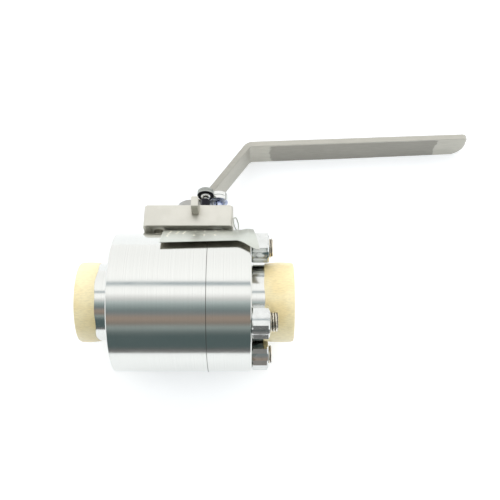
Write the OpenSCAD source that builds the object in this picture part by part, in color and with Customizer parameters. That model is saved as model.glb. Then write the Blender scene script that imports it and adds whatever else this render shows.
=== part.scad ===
// Two-piece floating ball valve with socket-weld ends, an actuator pad and a bent lever.
// Millimetres. Origin at the ball's centre, +X along the flow towards the bolted closure,
// +Z up the stem. The valve is drawn open, with the lever along +X.

/* [Flow path] */
// Diameter of the flow bore through ends, seats and ball
bore_d = 38; // [30:0.5:42]
// Diameter of the pipe sockets
socket_d = 48.8; // [44:0.1:60]
// Depth of each pipe socket
socket_depth = 16; // [10:0.5:20]
// Wall of the pipe hubs around the sockets
socket_wall = 7.6; // [5:0.1:10]
// Length of the inlet hub outside the body
inlet_hub_len = 29; // [22:0.5:50]
// Length of the outlet hub outside the closure
outlet_hub_len = 33.8; // [26:0.1:50]

/* [Body and closure] */
// Distance from the ball's centre to the body's inlet face
body_left = 58.5; // [48:0.5:80]
// Thickness of the closure's round plate
closure_len = 35; // [26:0.5:50]
// Metal left outside the studs
rim_wall = 3; // [2:0.1:6]
// Metal left between the closure's spigot and the studs
stud_land = 4; // [2.5:0.1:8]
// Wall of the closure's spigot
spigot_wall = 3.4; // [2.8:0.1:6]
// Chamfer on the turned rims
rim_chamfer = 0.8; // [0.3:0.1:2]

/* [Ball and seats] */
// Diameter of the ball
ball_d = 60; // [52:1:74]
// Radial width of a seat ring
seat_w = 8.5; // [7:0.1:10]
// Seat depth in front of the ball's bore edge
seat_front_depth = 5.5; // [4:0.1:7]
// Seat thickness behind the ball's bore edge
seat_back_t = 5.6; // [4:0.1:8]
// Height of a seat spring behind its seat
seat_spring_h = 1.9; // [1.2:0.1:3]

/* [Closure bolting] */
// Stud diameter
stud_d = 16; // [12:0.5:20]
// Depth of a stud in the body
stud_embed = 30; // [20:1:36]
// Nut width across its flats
nut_af = 24; // [22:0.5:30]
// Nut height
nut_h = 14; // [10:0.5:18]
// How far each stud stands out of its nut: upper back, upper front, lower front, lower back
stud_reach = [3.5, 3.2, 6.2, 2.8]; // [0:0.1:10]
// How far each nut is turned from a corner pointing up, in degrees, in the same order
nut_turn = [10, 0, 7.5, -24]; // [-30:0.5:30]
// Thread pitch of the studs
stud_pitch = 2; // [1.5:0.25:2.5]

/* [Stem and packing] */
// Stem diameter
stem_d = 16; // [13:0.5:18]
// Thickness of the stem's tang
tang_t = 8; // [6:0.5:11]
// Width of the stem's tang
tang_w = 18; // [14:0.5:21]
// Width across the two flats on the stem's upper end
stem_flats = 12; // [9:0.5:12.5]
// Radial width of the packing
packing_w = 4; // [3:0.1:4.6]
// Height of one packing ring
packing_h = 2.7; // [2:0.1:3]
// Number of packing rings
packing_count = 4; // [3:1:4]
// Height of the packing follower
follower_h = 4; // [3:0.1:5]
// Height of the two disc springs together
disc_spring_h = 3.2; // [2.4:0.1:3.6]

/* [Mounting pad] */
// Pad length along the flow
pad_w = 74.5; // [60:0.5:90]
// Pad length across the flow
pad_l = 70; // [66:0.5:90]
// Pad thickness
pad_t = 20.2; // [16.5:0.1:26]
// Radius of the pad's upright corners
pad_corner = 3.5; // [1:0.1:4.5]
// Depth of the flat that is milled on the body for the pad
flat_cut = 4.5; // [3:0.1:6]
// Spacing of the four actuator holes, both ways
actuator_pitch = 49.5; // [48:0.1:52]
// Diameter of the actuator holes
actuator_hole_d = 9; // [7:0.1:10]
// Width of the locating key
key_w = 5.8; // [4:0.1:6.5]
// Height of the locating key
key_h = 9.7; // [7:0.1:12]
// How far the key stands out of the pad
key_out = 12.5; // [8:0.1:18]
// How deep the key sits in the pad
key_in = 4; // [3:0.1:4.5]

/* [Travel stops] */
// Diameter of the stop screws' shanks
stop_d = 8; // [6:0.1:8.4]
// Place of the open stop screw on the pad
open_stop_at = [13.4, -27]; // [-30:0.1:30]
// Head diameter and height of the open stop screw
open_head = [14.4, 5.1]; // [4:0.1:15]
// Place of the closed stop screw on the pad
closed_stop_at = [24, -15]; // [-30:0.1:30]
// Head diameter and height of the closed stop screw
closed_head = [16.2, 8]; // [4:0.1:17]
// Outside diameter of the stop plate
stop_plate_d = 57; // [54:0.5:60]
// Thickness of the stop plate
stop_plate_t = 3.5; // [2.5:0.1:5]

/* [Lever] */
// Diameter of the lever's hub
lever_hub_d = 26; // [24:0.5:30]
// Height of the lever's hub
lever_hub_h = 16.6; // [13:0.1:22]
// Width of the lever bar
lever_w = 24; // [18:0.5:30]
// Thickness of the lever bar
lever_t = 5.5; // [4:0.1:7.5]
// Slope of the lever's lower leg, in degrees from the flow axis
leg_angle = 56.8; // [50:0.1:65]
// Rise of the lever's lower leg
leg_rise = 58.5; // [45:0.5:75]
// Distance from the stem's axis to the lever's free end
lever_reach = 252.5; // [180:0.5:320]
// Slope of the grip, in degrees
grip_slope = 2.5; // [0:0.1:6]
// Inside radius of the lever's bend
bend_r = 5; // [3:0.1:8]
// Radius of the free end's front corner and of its back corner
grip_corner = [5, 18]; // [2:0.5:20]
// Leg of the weld between lever and hub
weld_leg = 3; // [2:0.1:3.8]

/* [Tag and tape] */
// Thickness of the identification tag
tag_t = 0.5; // [0.4:0.1:0.8]
// Length of the identification tag
tag_len = 78.5; // [66:0.5:80]
// Thickness of the masking tape
tape_t = 0.4; // [0.2:0.05:0.5]
// Width of the tape on the inlet hub
inlet_tape_w = 16.5; // [10:0.5:26]
// Width of the tape on the outlet hub
outlet_tape_w = 24; // [14:0.5:30]
// Width of the tape folded over a hub's end
tape_lip = 6.6; // [3:0.1:7]

/* [Clearances] */
// Gap between the ball and what surrounds it
cavity_gap = 1; // [0.6:0.1:2]
// Gap between the ball and a seat's spherical face
seat_gap = 0.15; // [0.1:0.05:0.3]
// Running clearance of round pieces that turn, on the radius
run_gap = 0.05; // [0.02:0.01:0.1]
// Clearance of pieces that are put together and stay put, on the radius
fit_gap = 0.1; // [0.05:0.01:0.2]
// Clearance of a stud in the closure, on the radius
stud_gap = 0.8; // [0.4:0.1:1.2]
// Clearance between a stop and the stop plate, in degrees
stop_gap = 0.6; // [0.3:0.1:2]

/* [Hidden] */
$fn = 96;
small_fn = 48;
cut = 1;
bore_r = bore_d / 2;
socket_r = socket_d / 2;
hub_r = socket_r + socket_wall;
ball_r = ball_d / 2;
stem_r = stem_d / 2;

// Seats: the sphere meets the flow bore at seat_edge
seat_edge = sqrt(pow(ball_r + seat_gap, 2) - pow(bore_r, 2));
seat_front = seat_edge - seat_front_depth;
seat_back = seat_edge + seat_back_t;
seat_or = bore_r + seat_w;
pocket_r = seat_or + fit_gap;
pocket_end = seat_back + seat_spring_h;
spring_t = 0.7;

// Stem flange, which the body's cavity and the gasket go round
flange_r = stem_r + 2.6;
flange_bore_r = flange_r + 0.3;

// Joint between body and closure: the gasket's seat stays clear of the stem flange's bore
joint_land = 0.2;
gasket_h = 1.2;
gasket_seat_x = flange_bore_r + 0.6;
spigot_min = 4;
joint_x = max(seat_front - joint_land, gasket_seat_x + gasket_h + spigot_min);
spigot_end_x = gasket_seat_x + gasket_h;
cavity_r = max(ball_r + cavity_gap, pocket_r + joint_land);
spigot_r = cavity_r + spigot_wall;
counterbore_r = spigot_r + fit_gap;
closure_face = joint_x + closure_len;
o_ring_r = 0.87;
o_ring_groove = 1.8;
groove_w = 2.2;
groove_end_x = joint_x - 0.9;
groove_start_x = groove_end_x - groove_w;

// Bolting: nuts stay clear of the pipe hub and its tape
nut_corner = nut_af / sqrt(3);
nut_hub_gap = 0.15;
bolt_r = max(counterbore_r + stud_land + stud_d / 2, hub_r + tape_t + nut_hub_gap + nut_corner);
body_r = bolt_r + stud_d / 2 + rim_wall;
stud_angles = [45, 135, 225, 315];
stud_chamfer = 1;
stud_tip_gap = 2;
thread_depth = 0.6 * stud_pitch;
nut_reach = norm([bolt_r * cos(45) + nut_af / 2, bolt_r * sin(45) + nut_corner / 2]);
inlet_end = -body_left - inlet_hub_len;
outlet_end = closure_face + outlet_hub_len;

// Stem stack, from the ball upwards
slot_wall = 5.5;
slot_bottom = bore_r + slot_wall;
tang_gap = 0.1;
flange_z = ball_r + 2.8;
flange_h = 5.2;
washer_h = 1.4;
shoulder_z = flange_z + flange_h + washer_h + 2 * run_gap;
packing_z = shoulder_z + 7.5;
chamber_r = stem_r + packing_w;
flat_z = max(body_r - flat_cut, packing_z + 2);
pad_top = flat_z + pad_t;
follower_z = packing_z + packing_count * packing_h;
disc_z = follower_z + follower_h;
gland_z = disc_z + disc_spring_h;
gland_sink = 0.6;
stem_groove_z = shoulder_z + 2.4;
stem_groove_h = 2.4;
antistatic_r = 1.2;
antistatic_z = (slot_bottom + ball_r) / 2 + 0.9;
plate_gap = 0.5;
plate_z = pad_top + plate_gap;
hub_z = plate_z + stop_plate_t + 0.2;
hub_top = hub_z + lever_hub_h;
stem_top = hub_top - 0.6;
lever_hub_r = lever_hub_d / 2;
hub_chamfer = 0.8;
flats_r = stem_r - 0.2;
set_screw_r = 3;
set_screw_z = hub_z + 7;
set_screw_sink = 1;
set_hex_d = 3.46;
set_hex_depth = 2.5;

// Screws that hold the pad on the body
pad_screw_r = 3;
pad_head_r = 5;
pad_head_h = 6;
pad_screw_ring = chamber_r + pad_head_r + 2.5;
pad_screw_angles = [65, 115, 245, 295];
pad_screw_len = 9;
pad_head_sink = 1;
pad_hex_d = 5.77;
pad_hex_depth = 3;

// Room round the pad's flat, and the closure's own flat, a little lower
flat_margin = 2;
closure_flat_drop = 0.6;

// Gasket between pad and body
gasket_groove_h = 0.8;
gasket_in_r = chamber_r + 0.9;
gasket_out_r = chamber_r + 3.1;

// Locating key: its middle along the flow, and how far it stands above the pad
key_x = 5.8;
key_proud = 0.7;
key_z = pad_top + key_proud - key_h;

// Stop screws: heads keep their height against the lever hub's top
open_head_top = hub_top - 1.4;
closed_head_top = hub_top + 2.5;
stop_embed = 14;
stop_hex_af = 6;
stop_chamfer = 0.6;
function half_angle(p) = asin(min(1, stop_d / 2 / norm(p))) + stop_gap;
notch_start = atan2(open_stop_at.y, open_stop_at.x) - half_angle(open_stop_at);
notch_end = atan2(closed_stop_at.y, closed_stop_at.x) + half_angle(closed_stop_at) + 90;

// Lever outline in the XZ plane
leg_foot_x = lever_hub_r + 0.5;
bend_x = leg_foot_x + leg_rise / tan(leg_angle);
bend_z = hub_top + leg_rise;
bend_turn = leg_angle - grip_slope;

// Places along the tag, and the angles above the horizon of its two long edges
tag_start = -19.5;
tag_lift_from = 40;
tag_lift_to = 51;
tag_slant = 5;
tag_low = 23.5;
tag_tilt = 3.5;
tag_high = 55;
tag_low_drop = 12;
tag_high_drop = 9;

// How far the tag's two long edges stand off the body, which is more curved than the tag
tag_gap = 0.5;
tag_low_off = 2.8;
tag_high_off = 1.2;

// Ring of tag wire beside the pad's front corner
wire_ring_r = 5.4;
wire_r = 0.6;
wire_turn = 68;

// A solid turned about the flow axis from an outline in (x, radius)
module turned_x(points) {
    rotate([90, 0, 90]) rotate_extrude() polygon([for (p = points) [p[1], p[0]]]);
}

// A straight round hole or bar along the flow axis
module round_x(r, x0, x1) {
    translate([x0, 0, 0]) rotate([0, 90, 0]) cylinder(r = r, h = x1 - x0);
}

module at_studs() {
    for (a = stud_angles) rotate([a, 0, 0]) translate([0, bolt_r, 0]) children();
}

module flat_for_pad(x0, x1, z) {
    translate([x0, -body_r, z]) cube([x1 - x0, 2 * body_r, body_r]);
}

module stem_bore() {
    translate([0, 0, shoulder_z - cut]) cylinder(r = stem_r + run_gap, h = flat_z);
}

module packing_chamber() {
    translate([0, 0, packing_z]) cylinder(r = chamber_r, h = pad_top - packing_z + cut);
}

module at_pad_screws() {
    for (a = pad_screw_angles) rotate([0, 0, a]) translate([pad_screw_ring, 0, 0]) children();
}

module body() {
    color("gainsboro") difference() {
        turned_x([[inlet_end, socket_r], [inlet_end, hub_r - rim_chamfer],
            [inlet_end + rim_chamfer, hub_r], [-body_left, hub_r],
            [-body_left, body_r - rim_chamfer], [-body_left + rim_chamfer, body_r],
            [joint_x, body_r], [joint_x, counterbore_r], [gasket_seat_x, counterbore_r],
            [gasket_seat_x, cavity_r], [-seat_front, cavity_r],
            [-seat_front, pocket_r], [-pocket_end, pocket_r], [-pocket_end, bore_r],
            [inlet_end + socket_depth, bore_r], [inlet_end + socket_depth, socket_r]]);
        flat_for_pad(-pad_w / 2 - flat_margin, joint_x + cut, flat_z);
        cylinder(r = flange_bore_r, h = shoulder_z);
        stem_bore();
        packing_chamber();
        at_studs() round_x(stud_d / 2 + run_gap, joint_x - stud_embed - stud_tip_gap, joint_x + cut);
        at_pad_screws() translate([0, 0, flat_z - pad_screw_len - 1])
            cylinder(r = pad_screw_r + run_gap, h = pad_screw_len + 2, $fn = small_fn);
    }
}

module closure() {
    color("gainsboro") difference() {
        turned_x([[joint_x, spigot_r], [joint_x, body_r], [closure_face - rim_chamfer, body_r],
            [closure_face, body_r - rim_chamfer], [closure_face, hub_r],
            [outlet_end - rim_chamfer, hub_r], [outlet_end, hub_r - rim_chamfer],
            [outlet_end, socket_r], [outlet_end - socket_depth, socket_r],
            [outlet_end - socket_depth, bore_r], [pocket_end, bore_r],
            [pocket_end, pocket_r], [seat_front, pocket_r], [seat_front, cavity_r],
            [spigot_end_x, cavity_r], [spigot_end_x, spigot_r], [groove_start_x, spigot_r],
            [groove_start_x, spigot_r - o_ring_groove], [groove_end_x, spigot_r - o_ring_groove],
            [groove_end_x, spigot_r]]);
        flat_for_pad(joint_x - cut, pad_w / 2 + flat_margin, flat_z - closure_flat_drop);
        at_studs() round_x(stud_d / 2 + stud_gap, joint_x - cut, closure_face + cut);
    }
}

// The seat's front takes the ball's sphere
module seat_ring() {
    difference() {
        turned_x([[seat_front, bore_r], [seat_front, seat_or], [seat_back - 1, seat_or],
            [seat_back, seat_or - 1], [seat_back, bore_r]]);
        sphere(r = ball_r + seat_gap);
    }
}

module inlet_seat() {
    color("ivory") mirror([1, 0, 0]) seat_ring();
}

module outlet_seat() {
    color("ivory") seat_ring();
}

// A coned ring between the seat and the bottom of its pocket
module seat_spring() {
    turned_x([[seat_back + 0.1, bore_r + 1], [seat_back + 0.1 + spring_t, bore_r + 1],
        [pocket_end - 0.1, seat_or - 1.2], [pocket_end - 0.1 - spring_t, seat_or - 1.2]]);
}

module inlet_seat_spring() {
    color("silver") mirror([1, 0, 0]) seat_spring();
}

module outlet_seat_spring() {
    color("silver") seat_spring();
}

module body_gasket() {
    r0 = cavity_r + 2 * fit_gap;
    r1 = spigot_r - fit_gap;
    color("dimgray") turned_x([[gasket_seat_x, r0], [spigot_end_x, r0], [spigot_end_x, r1],
        [gasket_seat_x, r1]]);
}

module closure_o_ring() {
    color("black") rotate([0, 90, 0]) rotate_extrude()
        translate([spigot_r - o_ring_groove / 2, groove_start_x + groove_w / 2])
            circle(r = o_ring_r, $fn = small_fn);
}

// One stud: plain shank, a grooved thread on what stands out of the nut, chamfered end
module stud(reach) {
    x0 = joint_x - stud_embed;
    x1 = closure_face + nut_h + reach;
    thread_from = closure_face + nut_h - 1;
    r = stud_d / 2;
    turns = floor((reach + 1) / stud_pitch);
    difference() {
        turned_x([[x0, 0], [x0, r - stud_chamfer], [x0 + stud_chamfer, r],
            [x1 - stud_chamfer, r], [x1, r - stud_chamfer], [x1, 0]]);
        for (i = [0:1:turns - 1]) translate([thread_from + stud_pitch * (i + 0.75), 0, 0])
            turned_x([[0, r - thread_depth], [stud_pitch * 0.4, r + 0.2],
                [-stud_pitch * 0.4, r + 0.2]]);
    }
}

module closure_studs() {
    color("silver") for (i = [0:1:3])
        rotate([stud_angles[i], 0, 0]) translate([0, bolt_r, 0]) stud(stud_reach[i]);
}

// A hexagon nut with chamfered corners on both faces, drawn with a corner towards +Z
module nut() {
    face_r = nut_af / 2 - 0.4;
    outer_r = nut_corner + 0.1;
    rise = (nut_corner - nut_af / 2) * 0.6;
    intersection() {
        rotate([0, 90, 0]) cylinder(r = nut_corner, h = nut_h, $fn = 6);
        turned_x([[0, 0], [0, face_r], [rise, outer_r], [nut_h - rise, outer_r],
            [nut_h, face_r], [nut_h, 0]]);
    }
}

module closure_nuts() {
    color("silver") for (i = [0:1:3]) let (a = stud_angles[i])
        translate([closure_face, bolt_r * cos(a), bolt_r * sin(a)]) rotate([nut_turn[i], 0, 0])
            difference() {
                nut();
                round_x(stud_d / 2 + run_gap, -cut, nut_h + cut);
            }
}

module ball() {
    color("whitesmoke") difference() {
        sphere(r = ball_r, $fn = 120);
        round_x(bore_r, -ball_d, ball_d);
        translate([-tang_t / 2 - tang_gap, -ball_r, slot_bottom])
            cube([tang_t + 2 * tang_gap, ball_d, ball_r]);
    }
}

module stem() {
    color("lightgray") difference() {
        union() {
            intersection() {
                translate([-tang_t / 2, -tang_w / 2, slot_bottom + 0.4])
                    cube([tang_t, tang_w, flange_z - slot_bottom]);
                cylinder(r = flange_r - 0.3, h = flat_z);
            }
            translate([0, 0, flange_z]) cylinder(r = flange_r, h = flange_h);
            translate([0, 0, flange_z]) cylinder(r = stem_r, h = pad_top + 0.3 - flange_z);
            intersection() {
                translate([0, 0, pad_top]) cylinder(r = flats_r, h = stem_top - pad_top);
                translate([-stem_r, -stem_flats / 2, pad_top])
                    cube([stem_d, stem_flats, stem_top - pad_top]);
            }
        }
        translate([0, 0, stem_groove_z]) difference() {
            cylinder(r = stem_r + cut, h = stem_groove_h);
            translate([0, 0, -cut]) cylinder(r = stem_r - o_ring_groove, h = stem_groove_h + 2 * cut);
        }
        translate([0, 0, antistatic_z]) rotate([0, 90, 0])
            cylinder(r = antistatic_r + run_gap, h = tang_t, $fn = small_fn);
    }
}

module stem_o_ring() {
    color("black") translate([0, 0, stem_groove_z + stem_groove_h / 2]) rotate_extrude()
        translate([stem_r - o_ring_groove / 2, 0]) circle(r = o_ring_r, $fn = small_fn);
}

module stem_thrust_washer() {
    color("ivory") translate([0, 0, flange_z + flange_h + run_gap]) difference() {
        cylinder(r = flange_r, h = washer_h);
        translate([0, 0, -cut]) cylinder(r = stem_r + run_gap, h = washer_h + 2 * cut);
    }
}

// A chevron ring: each one nests in the next
module chevron(z) {
    r0 = stem_r + run_gap;
    r1 = chamber_r - run_gap;
    rm = (r0 + r1) / 2;
    dip = packing_h * 0.35;
    translate([0, 0, z]) rotate_extrude() polygon([[r0, 0], [rm, dip], [r1, 0],
        [r1, packing_h - 0.05], [rm, packing_h + dip - 0.05], [r0, packing_h - 0.05]]);
}

module stem_packing() {
    color("ivory") for (i = [0:1:packing_count - 1]) chevron(packing_z + i * packing_h);
}

module packing_follower() {
    r0 = stem_r + 2 * run_gap;
    r1 = chamber_r - run_gap;
    dip = packing_h * 0.35;
    color("silver") translate([0, 0, follower_z]) rotate_extrude()
        polygon([[r0, 0], [(r0 + r1) / 2, dip], [r1, 0], [r1, follower_h], [r0, follower_h]]);
}

module disc_springs() {
    r0 = stem_r + 0.3;
    r1 = chamber_r - 0.3;
    t = disc_spring_h * 0.28;
    rise = disc_spring_h / 2 - t - 0.1;
    color("silver") translate([0, 0, disc_z + 0.05]) {
        rotate_extrude() polygon([[r0, rise], [r1, 0], [r1, t], [r0, rise + t]]);
        translate([0, 0, disc_spring_h / 2]) rotate_extrude()
            polygon([[r0, 0], [r1, rise], [r1, rise + t], [r0, t]]);
    }
}

module gland_nut() {
    h = pad_top - gland_sink - gland_z;
    color("silver") translate([0, 0, gland_z]) difference() {
        cylinder(r = chamber_r - run_gap, h = h);
        translate([0, 0, -cut]) cylinder(r = stem_r + 0.3, h = h + 2 * cut);
        for (a = [0, 90]) rotate([0, 0, a]) translate([-chamber_r, -1.2, h - 1.5])
            cube([2 * chamber_r, 2.4, 3]);
    }
}

module antistatic_ball() {
    color("silver") translate([tang_t / 2 + tang_gap - antistatic_r - 0.05, 0, antistatic_z])
        sphere(r = antistatic_r, $fn = small_fn);
}

// Coil spring: a six-sided wire swept along a helix
module antistatic_spring() {
    wire = 0.16;
    coil = 0.85;
    x0 = 0.25;
    x1 = tang_t / 2 - 2 * antistatic_r - 0.15;
    steps = 40;
    turns = 3;
    sides = 6;
    path = [for (i = [0:1:steps]) let (a = 360 * turns * i / steps)
        [x0 + (x1 - x0) * i / steps, coil * cos(a), coil * sin(a)]];
    rings = [for (i = [0:1:steps]) let (a = 360 * turns * i / steps) for (k = [0:1:sides - 1])
        let (b = 360 * k / sides)
        path[i] + wire * [sin(b), cos(b) * cos(a), cos(b) * sin(a)]];
    last = steps * sides;
    walls = [for (i = [0:1:steps - 1]) for (k = [0:1:sides - 1]) let (n = (k + 1) % sides)
        [i * sides + k, i * sides + n, (i + 1) * sides + n, (i + 1) * sides + k]];
    ends = [[for (k = [sides - 1:-1:0]) k], [for (k = [0:1:sides - 1]) last + k]];
    color("silver") translate([0, 0, antistatic_z])
        polyhedron(points = rings, faces = concat(walls, ends));
}

module rounded_plate(w, l, h, r) {
    linear_extrude(height = h) union() {
        square([w - 2 * r, l], center = true);
        square([w, l - 2 * r], center = true);
        for (x = [-1, 1], y = [-1, 1])
            translate([x * (w / 2 - r), y * (l / 2 - r)]) circle(r = r, $fn = small_fn);
    }
}

module mounting_pad() {
    color("antiquewhite") difference() {
        translate([0, 0, flat_z]) rounded_plate(pad_w, pad_l, pad_t, pad_corner);
        packing_chamber();
        translate([0, 0, flat_z - cut]) cylinder(r = chamber_r, h = pad_t);
        for (x = [-1, 1], y = [-1, 1])
            translate([x * actuator_pitch / 2, y * actuator_pitch / 2, flat_z - cut])
                cylinder(d = actuator_hole_d, h = pad_t + 2 * cut, $fn = small_fn);
        at_pad_screws() {
            translate([0, 0, flat_z - cut])
                cylinder(r = pad_screw_r + 0.3, h = pad_t + 2 * cut, $fn = small_fn);
            translate([0, 0, pad_top - pad_head_h - pad_head_sink])
                cylinder(r = pad_head_r + 0.3, h = pad_head_h + 2, $fn = small_fn);
        }
        for (p = [open_stop_at, closed_stop_at]) translate([p.x, p.y, pad_top - stop_embed - 1])
            cylinder(r = stop_d / 2 + run_gap, h = stop_embed + 2, $fn = small_fn);
        translate([key_x - key_w / 2 - run_gap, -pad_l / 2 - cut, key_z - run_gap])
            cube([key_w + 2 * run_gap, key_in + run_gap + cut, key_h + cut]);
        translate([0, 0, flat_z - cut]) difference() {
            cylinder(r = gasket_out_r + fit_gap, h = gasket_groove_h + cut);
            translate([0, 0, -cut])
                cylinder(r = gasket_in_r - fit_gap, h = gasket_groove_h + 3 * cut);
        }
    }
}

module pad_gasket() {
    color("dimgray") translate([0, 0, flat_z]) difference() {
        cylinder(r = gasket_out_r, h = gasket_groove_h - run_gap);
        translate([0, 0, -cut]) cylinder(r = gasket_in_r, h = gasket_groove_h + 2 * cut);
    }
}

module pad_screws() {
    z1 = pad_top - pad_head_h - pad_head_sink;
    color("silver") at_pad_screws() difference() {
        union() {
            translate([0, 0, flat_z - pad_screw_len])
                cylinder(r = pad_screw_r, h = z1 + cut - flat_z + pad_screw_len, $fn = small_fn);
            translate([0, 0, z1]) cylinder(r = pad_head_r, h = pad_head_h, $fn = small_fn);
        }
        translate([0, 0, z1 + pad_head_h - pad_hex_depth])
            cylinder(d = pad_hex_d, h = pad_hex_depth + cut, $fn = 6);
    }
}

module locating_key() {
    color("antiquewhite") translate([key_x - key_w / 2, -pad_l / 2 - key_out, key_z])
        cube([key_w, key_out + key_in, key_h]);
}

// A screw with a round head, screwed down into the pad
module stop_screw(at, head, head_top) {
    r = head[0] / 2;
    h = head[1];
    z0 = pad_top - stop_embed;
    translate([at.x, at.y, 0]) difference() {
        union() {
            translate([0, 0, z0]) cylinder(d = stop_d, h = head_top - h - z0 + cut, $fn = small_fn);
            translate([0, 0, head_top - h]) rotate_extrude($fn = small_fn)
                polygon([[0, 0], [r, 0], [r, h - stop_chamfer], [r - stop_chamfer, h], [0, h]]);
        }
        translate([0, 0, head_top - h * 0.6])
            cylinder(d = stop_hex_af / cos(30), h = h, $fn = 6);
    }
}

module open_stop_screw() {
    color("dimgray") stop_screw(open_stop_at, open_head, open_head_top);
}

module closed_stop_screw() {
    color("lightsteelblue") stop_screw(closed_stop_at, closed_head, closed_head_top);
}

// The hole that drives a piece by the stem's two flats
module stem_flats_hole(z, h) {
    intersection() {
        translate([0, 0, z]) cylinder(r = flats_r + fit_gap, h = h);
        translate([-stem_d, -stem_flats / 2 - fit_gap, z])
            cube([2 * stem_d, stem_flats + 2 * fit_gap, h]);
    }
}

// A disc with a notch: its two walls meet the stop screws at the ends of the quarter turn
module stop_plate() {
    r = stop_plate_d / 2;
    inner = lever_hub_r;
    span = notch_end - notch_start;
    steps = 6;
    color("silver") difference() {
        translate([0, 0, plate_z]) cylinder(r = r, h = stop_plate_t);
        stem_flats_hole(plate_z - cut, stop_plate_t + 2 * cut);
        translate([0, 0, plate_z - cut]) linear_extrude(height = stop_plate_t + 2 * cut)
            difference() {
                polygon(concat([[0, 0]], [for (i = [0:1:steps])
                    let (a = notch_start + span * i / steps) 1.5 * r * [cos(a), sin(a)]]));
                circle(r = inner);
            }
    }
}

module lever_hub() {
    color("lightgray") difference() {
        translate([0, 0, hub_z]) rotate_extrude() polygon([[0, 0], [lever_hub_r, 0],
            [lever_hub_r, lever_hub_h - hub_chamfer], [lever_hub_r - hub_chamfer, lever_hub_h],
            [0, lever_hub_h]]);
        stem_flats_hole(hub_z - cut, lever_hub_h + 2 * cut);
        translate([0, 0, set_screw_z]) rotate([-90, 0, 0])
            cylinder(r = set_screw_r + run_gap, h = lever_hub_d, $fn = small_fn);
    }
}

module hub_set_screw() {
    y0 = stem_flats / 2 + fit_gap;
    len = lever_hub_r - y0 - set_screw_sink;
    color("dimgray") translate([0, y0, set_screw_z]) rotate([-90, 0, 0]) difference() {
        cylinder(r = set_screw_r, h = len, $fn = small_fn);
        translate([0, 0, len - set_hex_depth])
            cylinder(d = set_hex_d, h = set_hex_depth + cut, $fn = 6);
    }
}

// Points of an arc round c, from angle a0 to a1
function arc(c, r, a0, a1, n) =
    [for (i = [0:1:n]) let (a = a0 + (a1 - a0) * i / n) c + r * [cos(a), sin(a)]];

// Side outline of the bent bar: leg, bend and grip
function bar_outline() =
    let (leg = [cos(leg_angle), sin(leg_angle)],
        grip = [cos(grip_slope), sin(grip_slope)],
        leg_n = [-sin(leg_angle), cos(leg_angle)],
        grip_n = [-sin(grip_slope), cos(grip_slope)],
        corner = [bend_x, bend_z],
        back = bend_r * tan(bend_turn / 2),
        centre = corner - back * leg - bend_r * leg_n,
        under_end = corner + grip * ((lever_reach - bend_x) / cos(grip_slope)),
        foot_w = lever_t / sin(leg_angle))
    concat([[leg_foot_x, hub_top]],
        arc(centre, bend_r, leg_angle + 90, grip_slope + 90, 8),
        [under_end - 2.6 * grip, under_end - 0.8 * grip + 0.8 * grip_n,
            under_end + 2.6 * grip_n, under_end + (lever_t - 0.8) * grip_n,
            under_end - 0.8 * grip + lever_t * grip_n],
        arc(centre, bend_r + lever_t, grip_slope + 90, leg_angle + 90, 12),
        [[leg_foot_x - foot_w, hub_top]]);

// Prism of the bar seen from above, with one corner of the free end rounded
module bar_plan(r, side) {
    half = lever_w / 2;
    linear_extrude(height = bend_z + lever_reach) {
        translate([0, -half]) square([lever_reach - r, lever_w]);
        translate([0, side < 0 ? r - half : -half]) square([lever_reach, lever_w - r]);
        translate([lever_reach - r, side * (half - r)]) circle(r = r, $fn = small_fn);
    }
}

module lever_bar() {
    front = min(grip_corner[0], lever_w / 2);
    color("darkgray") intersection() {
        rotate([90, 0, 0]) translate([0, 0, -lever_w / 2])
            linear_extrude(height = lever_w) polygon(bar_outline());
        bar_plan(front, -1);
        bar_plan(min(grip_corner[1], lever_w - front), 1);
    }
}

// Fillet weld along the leg's upper side
module lever_weld() {
    foot = leg_foot_x - lever_t / sin(leg_angle);
    hub_edge = sqrt(pow(lever_hub_r - hub_chamfer, 2) - pow(foot - weld_leg, 2));
    half = min(lever_w / 2, hub_edge) - 0.3;
    color("gray") rotate([90, 0, 0]) translate([0, 0, -half]) linear_extrude(height = 2 * half)
        polygon([[foot - weld_leg, hub_top], [foot, hub_top],
            [foot + weld_leg * cos(leg_angle), hub_top + weld_leg * sin(leg_angle)]]);
}

// The tag's sheet: u runs along it, v from its lower edge to its upper edge
function ramp(x, x0, x1) = let (t = max(0, min(1, (x - x0) / (x1 - x0)))) t * t * (3 - 2 * t);
function tag_x(u, v) = tag_start + u * (tag_len - tag_slant * v);
function tag_angle(x, v) = let (tail = ramp(x, tag_lift_from, tag_start + tag_len),
    low = tag_low + tag_tilt * (x - tag_start) / tag_len - tag_low_drop * tail)
    low * (1 - v) + (tag_high - tag_high_drop * tail) * v;
function tag_radius(x, v) = let (lift = ramp(x, tag_lift_from, tag_lift_to))
    body_r + tag_gap + (1 - lift) * (tag_low_off * pow(1 - v, 2) + tag_high_off * v * v)
    + lift * (max(0, nut_reach - body_r) + 0.6);
function tag_point(u, v, out) =
    let (x = tag_x(u, v), a = tag_angle(x, v), r = tag_radius(x, v) + out)
    [x, -r * cos(a), r * sin(a)];

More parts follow.
